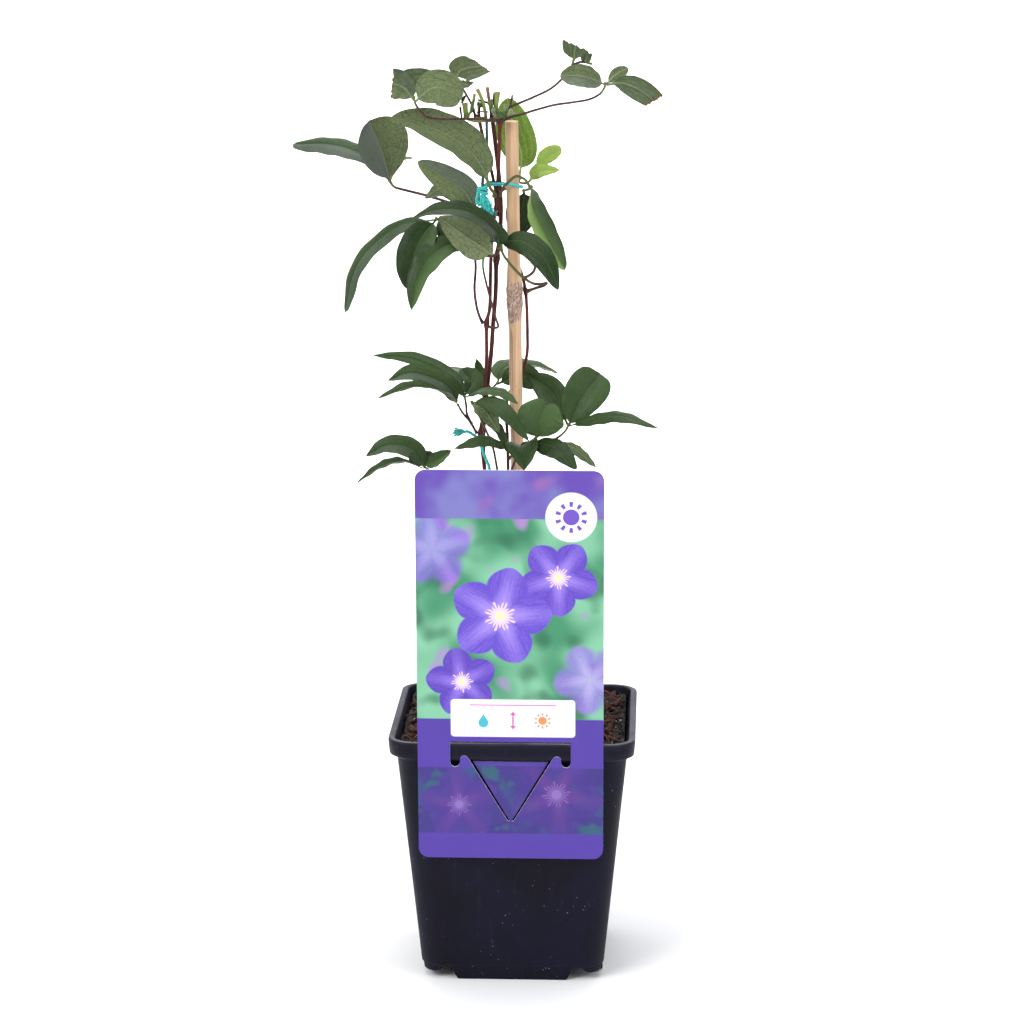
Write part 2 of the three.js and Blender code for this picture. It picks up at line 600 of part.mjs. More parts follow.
    leaflets: [
      { spine: [[-7.4, -8, 390.5], [4.5, -12, 391.5], [15.5, -17, 383], [23, -22, 367.5]], width: 14,
        face: [0.1, -0.85, 0.45], fold: -10, belly: 0.45, full: 0.6, stalk: 0.02 },
    ],
  },
  {
    name: 'leaf_right_hanging',
    swing: 0.25,
    stalks: [
      [rootOn('stem_red', 414.6, 320), [-7.4, -6.6, 416.6], [-5.6, -8.4, 420], [-2, -8, 423.6], [1, -6.4, 425],
        [5, -4, 423], [8, -1, 418]],
      [[8, -1, 418.8], [6.4, 5, 417], [3.6, 10.5, 415.6]],
    ],
    leaflets: [
      { spine: [[8, -1, 418.5], [8.5, 8, 407.5], [15.5, 13, 391.5], [25.5, 16, 373]], width: 14.5,
        face: [0.55, -0.8, 0.2], fold: 12, belly: 0.55, full: 0.65, stalk: 0.03 },
      { spine: [[4, 10, 416], [2.5, 16, 404.6], [-1, 18, 390]], width: 17, face: [0.1, -1, 0.2],
        fold: 8, belly: 0.45, full: 0.55 },
    ],
  },
  {
    name: 'leaf_lower_left',
    stalks: [
      [rootOn('stem_red', 288.6, 215), [-24, -6.5, 295], [-28, -7, 300], [-30.5, -7, 304.5]],
      [[-23, -6.2, 293.6], [-25.6, -6, 299], [-26, -6, 304], [-27, -6, 309]],
    ],
    leaflets: [
      { spine: [[-26.6, -6, 307.5], [-34, -2, 317.5], [-54, 4, 326.5], [-76.5, 10, 327.5]], width: 9,
        face: [-0.2, -0.75, 0.65], fold: 10, belly: 0.45, stalk: 0.03 },
      { spine: [[-30.5, -7, 305.5], [-37, -12, 316], [-53.5, -16, 322.5], [-66.5, -18, 318.5]],
        width: 12, face: [0.25, -0.85, 0.45], fold: 12, belly: 0.38, full: 0.55, stalk: 0.03 },
      { spine: [[-30.5, -7, 304.5], [-39.5, -16, 313], [-54, -24, 316.5], [-71, -30, 311]], width: 10,
        face: [0, -0.35, 0.95], fold: 16, belly: 0.45, stalk: 0.04 },
      { spine: [[-27, -6.6, 308], [-17, -12, 313], [-7, -16, 312.8], [2, -19, 306.8]], width: 10,
        face: [0.1, -0.4, 0.9], fold: -14, belly: 0.45, stalk: 0.03 },
      { spine: [[-27, -5.5, 308.5], [-23.5, 2, 314.5], [-29.5, 8, 321]], width: 14,
        face: [0.2, -1, 0.1], belly: 0.45 },
    ],
  },
  {
    name: 'leaf_lower_back_left',
    stalks: [[rootOn('stem_dark', 306, 115), [-18.6, 5, 309.6], [-18, 10, 315.6], [-19.5, 14, 318.5]]],
    leaflets: [
      { spine: [[-19.4, 14, 317.6], [-29, 20, 318], [-38, 26, 319]], width: 12, face: [0, -0.1, 1],
        fold: -10, belly: 0.5 },
      { spine: [[-18.4, 9, 314.4], [-20, 10, 319.4], [-21.4, 10, 326]], width: 6, face: [0.5, -1, 0.1] },
    ],
  },
  {
    name: 'leaf_lower_back',
    stalks: [[rootOn('stem_dark', 312.6, 70), [-12.6, 5, 311.4], [-10, 9, 313.4]]],
    leaflets: [
      { spine: [[-10.4, 8.6, 312.5], [-6.5, 15, 320.5], [8, 23, 320.5], [21.5, 28, 315.5]], width: 15,
        face: [-0.1, -0.35, 1], fold: 8, belly: 0.45, full: 0.5 },
      { spine: [[-10.4, 8.6, 312.6], [2, 13, 316.6], [13, 17, 311]], width: 14, face: [0.1, -0.9, 0.4],
        fold: 8, belly: 0.5 },
    ],
  },
  {
    name: 'leaf_lower_right',
    stalks: [
      [rootOn('stem_back', 275, 290), [-1, -6.4, 277.4], [5, -6.4, 280], [14, -6, 283], [21, -6, 285.8],
        [26, -5, 289.5], [28.6, -4, 294]],
      [[19, -6, 285], [23.6, -8.4, 285.4]],
    ],
    leaflets: [
      { spine: [[28.4, -4, 293], [35, -2, 307], [44.5, 2, 320]], width: 23, face: [-0.1, -1, 0.15],
        fold: 12, belly: 0.66, full: 0.6, stalk: 0.05 },
      { spine: [[28.2, -4.4, 292.6], [42, -10, 298], [57, -16, 300], [76.5, -22, 294.5]], width: 12,
        face: [0, -0.5, 0.85], fold: -12, belly: 0.38, stalk: 0.08 },
      { spine: [[28, -3.6, 292.4], [18.5, 2, 310], [4.5, 6, 319.5]], width: 16, face: [-0.1, -1, 0.1],
        fold: 12, belly: 0.38 },
      { spine: [[22, -7.8, 285.2], [32, -12, 281], [43, -14, 272.4]],
        width: 7, face: [0.2, -0.7, 0.7], belly: 0.45 },
    ],
  },
  {
    name: 'leaf_centre_round',
    stalks: [[rootOn('stem_back', 262, 275), [-2.6, -8, 267], [-1, -10, 272], [3.5, -12, 283.5],
      [8, -12, 285.5], [12, -12.5, 288.5]]],
    leaflets: [
      { spine: [[12, -12.5, 288], [13.5, -13.5, 298], [17, -15, 307]], width: 26, face: [0.1, -1, 0.1],
        fold: 14, cut: 0.9, notch: 3.5, belly: 0.55, full: 0.5, stalk: 0.02 },
      { spine: [[8, -12.5, 285.5], [16.5, -18, 285], [24.5, -22, 282], [33, -26, 273.5]], width: 13,
        face: [0.3, -0.8, 0.5], fold: -8, belly: 0.42, full: 0.5 },
      { spine: [[3.5, -12, 283.5], [4, -17, 283], [5, -22, 278.5], [5.5, -26, 272.5]], width: 19,
        face: [0, -0.75, 0.65], fold: 24, belly: 0.3, full: 0.4 },
    ],
  },
  {
    name: 'leaf_centre_long',
    stalks: [
      [rootOn('stem_back', 238, 250), [-5, -8, 246], [-7, -9.4, 256], [-9.4, -10, 270], [-12, -10.6, 283],
        [-18, -11, 297], [-23, -12, 307]],
      [[-12, -10.6, 283], [-7, -10.6, 281.4], [-4.4, -12, 283.6]],
    ],
    leaflets: [
      { spine: [[-22.6, -12, 306], [-15, -17.5, 308], [-5, -23, 304], [8, -27, 288.5]], width: 11,
        face: [0.3, -0.75, 0.55], fold: -8, belly: 0.45, stalk: 0.12 },
      { spine: [[-22.8, -12, 305.4], [-16, -15, 303], [-8, -18, 291.5]], width: 11,
        face: [0.4, -0.8, 0.2], belly: 0.45 },
      { spine: [[-18.6, -11.2, 298], [-9, -13.6, 292.6], [-3.4, -14.6, 279]],
        width: 6, face: [0.6, -0.8, 0.1] },
      { spine: [[-4.8, -12, 283.4], [-16.5, -17, 287], [-31.5, -21, 283]], width: 9.5,
        face: [-0.1, -0.6, 0.8], fold: -10, belly: 0.42, stalk: 0.03 },
    ],
  },
  {
    name: 'leaf_low_left',
    stalks: [
      [rootOn('stem_red', 244, 215), [-20, -8, 249], [-26, -12, 256.4], [-36, -18, 266], [-46, -24, 273],
        [-48.5, -25, 275.5]],
    ],
    leaflets: [
      { spine: [[-47.4, -24.8, 274.2], [-53.5, -27, 283.5], [-66, -28, 286], [-77.5, -28, 280]],
        width: 12, face: [-0.1, -0.75, 0.6], fold: 10, belly: 0.4, full: 0.5, stalk: 0.02 },
      { spine: [[-47, -25, 273], [-58, -30, 277.6], [-69.6, -32, 275], [-82, -33, 266.5]], width: 10,
        face: [0, -0.2, 1], fold: 12, belly: 0.45 },
      { spine: [[-47.4, -24.8, 274.2], [-41, -27, 278], [-32.5, -29, 283.5]], width: 8,
        face: [-0.2, -0.9, 0.5], belly: 0.45 },
      { spine: [[-47.4, -24.8, 274.2], [-45, -22, 278], [-47, -20, 281.5]], width: 7,
        face: [0.2, -1, 0.2], belly: 0.45 },
    ],
  },
];

// Ties: turquoise string, knotted round the stems and the cane
function makeUpperTie() {
  const loop = rod([
    [-15.6, -7.4, 420], [-12.6, -6, 420.6], [-9.4, -5.6, 420.8], [-5, -4.4, 420.6],
    [-1.8, -2.6, 420.2], [1.2, -1.4, 419.4], [3, 1.6, 418.6], [2, 5.6, 418.4], [-1.8, 7.2, 418.8],
    [-6, 8.8, 419.4], [-10, 10.4, 419.8], [-13.4, 10, 420], [-15, 6.5, 420], [-15.8, 0, 419.8],
    [-16.2, -5, 419.4],
  ], 0.8, 5, 3.2);
  const bow = rod([
    [-19, -8.5, 417.5], [-19.5, -9.5, 415.5], [-20, -10, 412.5], [-18.5, -10, 410.5],
    [-17.5, -10, 412.5], [-17.5, -9.5, 415.5],
  ], 0.85, 5, 2.6);
  const upright = rod([
    [-17, -8.5, 418], [-17, -7.5, 422.5], [-16.5, -4.5, 428.5], [-15, -4, 439], [-15, -5.6, 451.8],
  ], 0.8, 5, 6);
  const knot = new THREE.SphereGeometry(1, 8, 6).scale(3.1, 2.4, 2.2).translate(-17, -8.5, 418);
  const tail = new THREE.CylinderGeometry(1, 3, 10, 8).rotateX(Math.PI / 2).rotateY(-0.24);
  return fuse([loop, bow, upright, knot, tail.translate(-15.5, -9.5, 411)]);
}

function makeLowerTie() {
  const loop = rod([
    [-18.8, -7, 285], [-20.6, -5, 284.6], [-20.2, -1, 284.4], [-19.2, 1.8, 284.4], [-17, 2.9, 284.4],
    [-14.9, 1.2, 284.6], [-15.2, -2.6, 284.8], [-16.2, -5.6, 285], [-17.8, -7.1, 285.2],
  ], 0.65, 5, 2.6);
  const string = rod([
    [-28, -8.5, 289.5], [-25, -9, 290], [-21, -8.5, 287.5], [-18.6, -7.6, 285], [-17, -8, 279],
    [-15, -8, 274], [-13.5, -8, 268.5], [-12.5, -8, 250],
  ], 0.75, 5, 3.4);
  const frayed = new THREE.CylinderGeometry(0.9, 1.9, 4, 6).rotateZ(Math.PI / 2);
  return fuse([loop, string, frayed.translate(-29, -8.5, 289.5)]);
}

// Heights on the card, measured up from its lower edge
const SLOT_TOP = 65;
const SLOT_BOTTOM = 55.2;
const HOOK_BOTTOM = 51;
const TONGUE_TOP = 53;
const APEX = 19.4;
const SLOT_HALF = 31.5;
const HOOK_WIDTH = 5;
const SLIT = 1.2;
const TUCK = 2.6;

function makeCard() {
  const half = CARD_WIDTH / 2;
  const r = CARD_CORNER;
  const outline = new THREE.Shape();
  outline.moveTo(-half + r, 0).lineTo(half - r, 0).absarc(half - r, r, r, -Math.PI / 2, 0);
  outline.lineTo(half, CARD_HEIGHT - r).absarc(half - r, CARD_HEIGHT - r, r, 0, Math.PI / 2);
  outline.lineTo(-half + r, CARD_HEIGHT).absarc(-half + r, CARD_HEIGHT - r, r, Math.PI / 2, Math.PI);
  outline.lineTo(-half, r).absarc(-half + r, r, r, Math.PI, 1.5 * Math.PI);
  const inner = SLOT_HALF - HOOK_WIDTH;
  const rightSide = [
    [SLOT_HALF, SLOT_TOP], [SLOT_HALF, HOOK_BOTTOM + 1.5], [SLOT_HALF - 1.6, HOOK_BOTTOM],
    [inner + 1.6, HOOK_BOTTOM], [inner, HOOK_BOTTOM + 1.5], [inner - 0.8, SLOT_BOTTOM - 0.6],
    [inner - 3.4, SLOT_BOTTOM - 0.6], [1.2 + SLIT, APEX + 1.5], [1.2, APEX + 1.5],
    [inner - 4.4 - SLIT, TONGUE_TOP],
  ];
  const mirrored = rightSide.map(([x, y]) => [-x, y]).reverse();
  outline.holes.push(new THREE.Path([...mirrored, ...rightSide].map(([x, y]) => new THREE.Vector2(x, y))));
  const card = new THREE.ExtrudeGeometry(outline, { depth: CARD_THICK, bevelEnabled: false, curveSegments: 5 });
  tuckTongue(card);
  card.rotateX(Math.PI / 2 + CARD_LEAN);
  card.translate(CARD_X, CARD_BOTTOM_Y, CARD_BOTTOM_Z);
  return toSolid(card);
}

// The tongue between the two slits leans back until its upper edge sits under the lip
function tuckTongue(card) {
  const position = card.attributes.position;
  for (let i = 0; i < position.count; i++) {
    const x = Math.abs(position.getX(i));
    const y = position.getY(i);
    const inTongue = y > APEX && y <= TONGUE_TOP && x < SLOT_HALF - HOOK_WIDTH - 4.4 - SLIT / 2;
    if (!inTongue || x > ((y - APEX) / (TONGUE_TOP - APEX)) * SLOT_HALF) continue;
    position.setZ(i, position.getZ(i) - (TUCK * (y - APEX)) / (TONGUE_TOP - APEX));
  }
}

// The card leans on the outer face of the lip
const CARD_BOTTOM_Z = 71.2;
const CARD_REST_Z = POT_HEIGHT - 1;
const CARD_BOTTOM_Y = -(RIM_WIDTH / 2 + CLEAR) + (CARD_REST_Z - CARD_BOTTOM_Z) * Math.tan(CARD_LEAN);

const group = new THREE.Group();

function place(name, solid, colour) {
  const mesh = new THREE.Mesh(toGeometry(solid), new THREE.MeshStandardMaterial(COLOURS[colour]));
  mesh.name = name;
  group.add(mesh);
}

place('pot', makePot(), 'plastic');
place('soil', makeSoil(), 'soil');
place('cane', makeCane(), 'cane');
for (const stem of STEMS) place(stem.name, makeStem(stem), stem.colour);
for (const leaf of LEAVES) place(leaf.name, makeLeaf(leaf), leaf.name === 'leaf_young' ? 'youngLeaf' : 'leaf');
place('tie_upper', makeUpperTie(), 'string');
place('tie_lower', makeLowerTie(), 'string');
place('label_card', makeCard(), 'card');

const middle = new THREE.Box3().setFromObject(group).getCenter(new THREE.Vector3());
for (const mesh of group.children) mesh.geometry.translate(-middle.x, -middle.y, 0);

export default group;
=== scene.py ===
import math
import random

import bmesh
import bpy
import numpy as np
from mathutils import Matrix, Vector, noise


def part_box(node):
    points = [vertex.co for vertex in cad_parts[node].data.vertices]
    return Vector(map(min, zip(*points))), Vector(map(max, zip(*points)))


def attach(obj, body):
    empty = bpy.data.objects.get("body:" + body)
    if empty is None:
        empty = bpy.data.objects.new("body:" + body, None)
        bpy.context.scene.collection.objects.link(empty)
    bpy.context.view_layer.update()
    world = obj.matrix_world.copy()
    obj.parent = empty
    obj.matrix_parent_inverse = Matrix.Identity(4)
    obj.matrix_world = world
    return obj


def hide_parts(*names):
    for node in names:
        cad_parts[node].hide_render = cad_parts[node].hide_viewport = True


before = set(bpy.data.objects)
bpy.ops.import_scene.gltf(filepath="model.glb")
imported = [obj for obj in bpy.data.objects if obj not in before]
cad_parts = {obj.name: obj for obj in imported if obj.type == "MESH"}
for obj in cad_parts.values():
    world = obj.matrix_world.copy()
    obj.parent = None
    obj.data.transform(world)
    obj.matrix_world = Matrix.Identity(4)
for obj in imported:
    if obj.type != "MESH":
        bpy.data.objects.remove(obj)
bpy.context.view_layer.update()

MM = 0.001
POT_LOW, POT_HIGH = (np.array(corner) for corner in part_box("pot"))
POT_MIDDLE = np.array([(POT_LOW[0] + POT_HIGH[0]) / 2, (POT_LOW[1] + POT_HIGH[1]) / 2, 0.0])


def at(points):
    """Millimetres round the middle of the pot, as metres in the frame."""
    return np.asarray(points, dtype=float) * MM + POT_MIDDLE


# Node trees

def colour(code):
    """A colour written as #rrggbb, in Blender's linear light."""
    parts = [int(code[i:i + 2], 16) / 255 for i in (1, 3, 5)]
    linear = [p / 12.92 if p <= 0.04045 else ((p + 0.055) / 1.055) ** 2.4 for p in parts]
    return (*linear, 1.0)


def plug(tree, socket, value):
    """Links a wire to a socket, or sets the socket to a value or to a colour written as #rrggbb."""
    if isinstance(value, Wire):
        tree.links.new(value.socket, socket)
    else:
        socket.default_value = colour(value) if str(value).startswith("#") else value


def add(tree, kind, inputs=None, output=0, **settings):
    """Adds a node, sets it up, plugs its inputs by name or number, and gives the wire of one output."""
    node = tree.nodes.new(kind)
    for name, value in settings.items():
        setattr(node, name, value)
    for key, value in (inputs or {}).items():
        plug(tree, node.inputs[key], value)
    return Wire(tree, node.outputs[output])


class Wire:
    """A value that runs through a node tree. Reckoning with wires adds the nodes that do it."""

    def __init__(self, tree, socket):
        self.tree = tree
        self.socket = socket

    def math(self, operation, *others):
        return add(self.tree, "ShaderNodeMath", dict(enumerate((self, *others))), operation=operation)

    def __add__(self, other):
        return self.math("ADD", other)

    def __sub__(self, other):
        return self.math("SUBTRACT", other)

    def __rsub__(self, other):
        return self.math("MULTIPLY", -1.0).math("ADD", other)

    def __mul__(self, other):
        return self.math("MULTIPLY", other)

    def __truediv__(self, other):
        return self.math("DIVIDE", other)

    def __pow__(self, other):
        return self.math("POWER", other)

    def __abs__(self):
        return self.math("ABSOLUTE")

    def plus(self, other):
        """The sum of two vectors."""
        return add(self.tree, "ShaderNodeVectorMath", {0: self, 1: other}, operation="ADD")

    def times(self, factor):
        """A vector scaled by a number."""
        return add(self.tree, "ShaderNodeVectorMath", {0: self, 3: factor}, operation="SCALE")

    def stretched(self, factors):
        """A vector scaled by a number for each axis."""
        return add(self.tree, "ShaderNodeVectorMath", {0: self, 1: factors}, operation="MULTIPLY")

    def split(self):
        node = self.tree.nodes.new("ShaderNodeSeparateXYZ")
        plug(self.tree, node.inputs[0], self)
        return [Wire(self.tree, socket) for socket in node.outputs]

    def ramp(self, low, high, to_low=0.0, to_high=1.0):
        """A smooth step from one value to another while this one goes from low to high."""
        ends = {"Value": self, "From Min": low, "From Max": high, "To Min": to_low, "To Max": to_high}
        return add(self.tree, "ShaderNodeMapRange", ends, interpolation_type="SMOOTHSTEP")

    def bell(self, middle, width):
        """1 where this value is at the middle, falling to 0 over about the width."""
        return (((self - middle) / width) ** 2.0 * -1.0).math("EXPONENT")


def vector(tree, x, y, z=0.0):
    return add(tree, "ShaderNodeCombineXYZ", {0: x, 1: y, 2: z})


def clouds(place, scale, detail=2.0, rough=0.5, twist=0.0):
    inputs = {"Vector": place, "Scale": scale, "Detail": detail, "Roughness": rough, "Distortion": twist}
    return add(place.tree, "ShaderNodeTexNoise", inputs)


def cells(place, scale, feature="F1"):
    return add(place.tree, "ShaderNodeTexVoronoi", {"Vector": place, "Scale": scale}, feature=feature)


# Growing meshes with Geometry Nodes

def new_tree(name, sockets):
    """A Geometry Nodes tree with named inputs. Each socket is given as its kind and its first value."""
    tree = bpy.data.node_groups.new(name, "GeometryNodeTree")
    tree.interface.new_socket("Geometry", in_out="INPUT", socket_type="NodeSocketGeometry")
    tree.interface.new_socket("Geometry", in_out="OUTPUT", socket_type="NodeSocketGeometry")
    for label, (kind, value) in sockets.items():
        socket = tree.interface.new_socket(label, in_out="INPUT", socket_type="NodeSocket" + kind)
        if value is not None:
            socket.default_value = value
    entry = tree.nodes.new("NodeGroupInput")
    return tree, {socket.name: Wire(tree, socket) for socket in entry.outputs if socket.name}


def finish_tree(tree, geometry, material=None):
    """Ends a tree with Realize Instances and, where it has one material, Set Material."""
    last = add(tree, "GeometryNodeRealizeInstances", {"Geometry": geometry})
    if material is not None:
        last = add(tree, "GeometryNodeSetMaterial", {"Geometry": last, "Material": material})
    leave = tree.nodes.new("NodeGroupOutput")
    tree.links.new(last.socket, leave.inputs[0])
    return tree


def stored(tree, name, kind="FLOAT"):
    return add(tree, "GeometryNodeInputNamedAttribute", {"Name": name}, data_type=kind)


def store(tree, geometry, name, value, kind="FLOAT", domain="POINT"):
    inputs = {"Geometry": geometry, "Name": name, "Value": value}
    return add(tree, "GeometryNodeStoreNamedAttribute", inputs, data_type=kind, domain=domain)


def new_object(name, data):
    """An object with its data, linked to the scene."""
    thing = bpy.data.objects.new(name, data)
    bpy.context.scene.collection.objects.link(thing)
    return thing


def baked(source, **options):
    """The plain mesh that an object comes to with its modifiers."""
    depsgraph = bpy.context.evaluated_depsgraph_get()
    return bpy.data.meshes.new_from_object(source.evaluated_get(depsgraph), depsgraph=depsgraph, **options)


def grow(name, source, tree, inputs):
    """Runs a tree on a source mesh and gives the plain mesh that grows from it."""
    seedling = new_object(name, source)
    modifier = seedling.modifiers.new("growth", "NODES")
    modifier.node_group = tree
    for item in tree.interface.items_tree:
        if item.name in inputs:
            modifier[item.identifier] = inputs[item.name]
    grown = baked(seedling, preserve_all_data_layers=True)
    seedling.modifiers.remove(modifier)
    bpy.data.objects.remove(seedling)
    grown.name = name
    return grown


# Plain meshes

def mesh_of(name, points, faces=(), edges=()):
    """A smooth-shaded mesh from points in millimetres round the middle of the pot."""
    mesh = bpy.data.meshes.new(name)
    mesh.from_pydata([tuple(p) for p in at(points)], [tuple(e) for e in edges], [tuple(f) for f in faces])
    mesh.polygons.foreach_set("use_smooth", [True] * len(mesh.polygons))
    mesh.update()
    return mesh


def give(mesh, name, values, kind="FLOAT"):
    """Writes an attribute of numbers or of vectors on the points of a mesh."""
    layer = mesh.attributes.new(name, kind, "POINT")
    key = "value" if kind == "FLOAT" else "vector"
    layer.data.foreach_set(key, np.asarray(values, dtype=np.float32).ravel())


def point_places(mesh):
    """The places of a mesh's points in metres, one row each."""
    places = np.zeros(len(mesh.vertices) * 3)
    mesh.vertices.foreach_get("co", places)
    return places.reshape(-1, 3)


def joined(name, meshes):
    """One mesh from several, with their materials and attributes."""
    parts = [new_object(name, mesh) for mesh in meshes]
    first = parts[0]
    if len(parts) > 1:
        with bpy.context.temp_override(active_object=first, object=first, selected_editable_objects=parts):
            bpy.ops.object.join()
    whole = first.data
    bpy.data.objects.remove(first)
    whole.name = name
    return whole


def show(name, mesh, slot, node, materials=()):
    """Puts a finished mesh in the scene as a piece that stands for a node of the frame."""
    for material in materials:
        mesh.materials.append(material)
    piece = new_object(name, mesh)
    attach(piece, "root")
    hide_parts(node)


def loft(rings):
    """Skins rings of equal length and closes both ends with a fan round their middles."""
    count = len(rings[0])
    points = np.concatenate([*rings, [np.mean(rings[0], axis=0), np.mean(rings[-1], axis=0)]])
    faces = []
    for i in range(len(rings) - 1):
        for k in range(count):
            a, b = i * count + k, i * count + (k + 1) % count
            faces.append((a, b, b + count, a + count))
    last = (len(rings) - 1) * count
    bottom, top = len(points) - 2, len(points) - 1
    for k in range(count):
        faces.append((bottom, (k + 1) % count, k))
        faces.append((top, last + k, last + (k + 1) % count))
    return points, faces


def smooth_step(value, low, high):
    share = np.clip((value - low) / (high - low), 0, 1)
    return share * share * (3 - 2 * share)


# Curves: the same smooth line through points that the frame's pieces follow

def through(points, shares):
    """Places on a Catmull-Rom curve through the points, at shares from 0 to 1."""
    p = np.array(points, dtype=float)
    p = np.vstack([2 * p[0] - p[1], p, 2 * p[-1] - p[-2]])
    spans = len(p) - 3
    place = np.clip(np.asarray(shares, dtype=float), 0, 1) * spans
    first = np.minimum(place.astype(int), spans - 1)
    w = (place - first)[:, None]
    a, b, c, d = (p[first + k] for k in range(4))
    start, end = (c - a) / 2, (d - b) / 2
    return b + start * w + (3 * (c - b) - 2 * start - end) * w ** 2 + (2 * (b - c) + start + end) * w ** 3


def unit(rows):
    return rows / np.linalg.norm(rows, axis=1)[:, None]


def directions(points, shares, step=1e-3):
    """The ways a curve runs at shares of its length."""
    ahead = through(points, np.clip(shares + step, 0, 1))
    return unit(ahead - through(points, np.clip(shares - step, 0, 1)))


def fine_line(points, per_span):
    """A smooth line through the points, with a number of steps from each to the next."""
    return through(points, np.linspace(0, 1, per_span * (len(points) - 1) + 1))


# Camera, floor and light

CAMERA_PLACE = (75.94, -1859.56, 627.05)
CAMERA_PITCH = 11.6
CAMERA_YAW = 2.4
CAMERA_LENS = 125.26
SENSOR_WIDTH = 36

FLOOR_HALF_WIDTH = 6000
FLOOR_FRONT = -5000
SWEEP_START = 2200
SWEEP_RADIUS = 1500
SWEEP_TOP = 5000
SWEEP_STEPS = 16


def make_camera():
    data = bpy.data.cameras.new("camera")
    data.lens = CAMERA_LENS
    data.sensor_width = SENSOR_WIDTH
    data.clip_end = 50
    camera = new_object("camera", data)
    camera.location = at([CAMERA_PLACE])[0]
    camera.rotation_euler = (math.radians(90 - CAMERA_PITCH), 0, math.radians(CAMERA_YAW))
    bpy.context.scene.camera = camera


def make_floor():
    """A pale studio sweep: level under the pot, then curving up behind it."""
    profile = [(FLOOR_FRONT, 0), (SWEEP_START, 0)]
    for i in range(1, SWEEP_STEPS + 1):
        angle = i / SWEEP_STEPS * math.pi / 2
        profile.append((SWEEP_START + SWEEP_RADIUS * math.sin(angle), SWEEP_RADIUS * (1 - math.cos(angle))))
    profile.append((profile[-1][0], SWEEP_TOP))
    points = [(side * FLOOR_HALF_WIDTH, y, z) for side in (-1, 1) for y, z in profile]
    count = len(profile)
    faces = [(i, i + count, i + count + 1, i + 1) for i in range(count - 1)]
    mesh = mesh_of("studio_floor", points, faces)
    material, tree, place = new_material("studio_floor_white")
    base = mix(clouds(place, 3.0).ramp(0.2, 0.8), "#f6f6f7", "#fafafa")
    mesh.materials.append(finish(material, base, 0.9))
    floor = new_object("studio_floor", mesh)


# Each light: its place, the place it shines at and its size in millimetres, and its power in watts
PLANT_MIDDLE = (0, 0, 250)
LIGHTS = [
    dict(name="key_left", place=(-1500, -1700, 1900), aim=PLANT_MIDDLE, size=1500, power=50),
    dict(name="fill_right", place=(1700, -1300, 1100), aim=PLANT_MIDDLE, size=1400, power=14),
    dict(name="top_soft", place=(0, 200, 2300), aim=PLANT_MIDDLE, size=1800, power=34),
    dict(name="backdrop_wash", place=(0, 1500, 2200), aim=(0, 3700, 1000), size=2400, power=130),
]
SKY_STRENGTH = 0.5


def make_lights():
    world = bpy.data.worlds.new("studio_air")
    world.use_nodes = True
    background = world.node_tree.nodes["Background"]
    background.inputs["Color"].default_value = colour("#f4f6fb")
    background.inputs["Strength"].default_value = SKY_STRENGTH
    bpy.context.scene.world = world
    for light in LIGHTS:
        data = bpy.data.lights.new(light["name"], "AREA")
        data.shape = "SQUARE"
        data.size = light["size"] * MM
        data.energy = light["power"]
        lamp = new_object(light["name"], data)
        lamp.location = at([light["place"]])[0]
        aim = Vector(at([light["aim"]])[0]) - lamp.location
        lamp.rotation_euler = aim.to_track_quat("-Z", "Y").to_euler()
    bpy.context.scene.view_settings.view_transform = "Standard"


# Materials

def new_material(name):
    """A material, its node tree, and the place on the object of the point it shades, in metres."""
    material = bpy.data.materials.new(name)
    material.use_nodes = True
    tree = material.node_tree
    return material, tree, add(tree, "ShaderNodeTexCoord", output=3)


def finish(material, base, roughness, relief=None, **others):
    """Plugs the shader in. relief is a height, its depth in millimetres and its strength."""
    tree = material.node_tree
    values = {"Base Color": base, "Roughness": roughness}
    if relief:
        height, depth, strength = relief
        inputs = {"Height": height, "Distance": depth * MM, "Strength": strength}
        values["Normal"] = add(tree, "ShaderNodeBump", inputs)
    for name, value in (values | others).items():
        plug(tree, tree.nodes["Principled BSDF"].inputs[name.replace("_", " ")], value)
    return material


def attribute(tree, name):
    return add(tree, "ShaderNodeAttribute", output=2, attribute_name=name)


def mix(factor, first, second):
    return add(factor.tree, "ShaderNodeMix", {0: factor, 6: first, 7: second}, output=2, data_type="RGBA")


def pot_plastic():
    """Black plastic, hazy and scuffed, with pale edges, partly worn and partly a painted highlight, and
    specks of dust.
    """
    material, tree, place = new_material("pot_black_plastic")
    haze = clouds(place, 26, 4, 0.6)
    scuffs = clouds(place.stretched((300, 300, 26)), 1.0, 3, 0.6).ramp(0.6, 0.78)
    dust = cells(place, 330).ramp(0.13, 0.05) * clouds(place, 55, 1).ramp(0.5, 0.68)
    base = mix(haze.ramp(0.35, 0.7), "#0b0a17", "#121124")
    base = mix(scuffs * 0.25, base, "#2c2b39")
    # Pale edges: partly worn plastic, partly a painted highlight along the rim, the lip and the foot
    base = mix(attribute(tree, "wear") * haze.ramp(0.2, 0.6, 0.35, 1.0), base, "#2f2e3d")
    base = mix(dust * 0.75, base, "#8d8780")
    grain = clouds(place, 900, 2) + haze * 2.0
    roughness = haze.ramp(0.3, 0.7, 0.42, 0.58)
    return finish(material, base, roughness, (grain, 0.12, 0.35), Specular_IOR_Level=0.12)


def potting_mix(name, dark, light):
    """Soil and what lies in it: dark and light are the two ends of its colours, piece by piece."""
    material, tree, place = new_material(name)
    grain = clouds(place, 420, 5, 0.7)
    base = mix(attribute(tree, "tint") * 0.75 + grain.ramp(0.35, 0.7) * 0.35, dark, light)
    return finish(material, base, grain.ramp(0.3, 0.7, 0.95, 0.75), (grain, 0.5, 0.8))


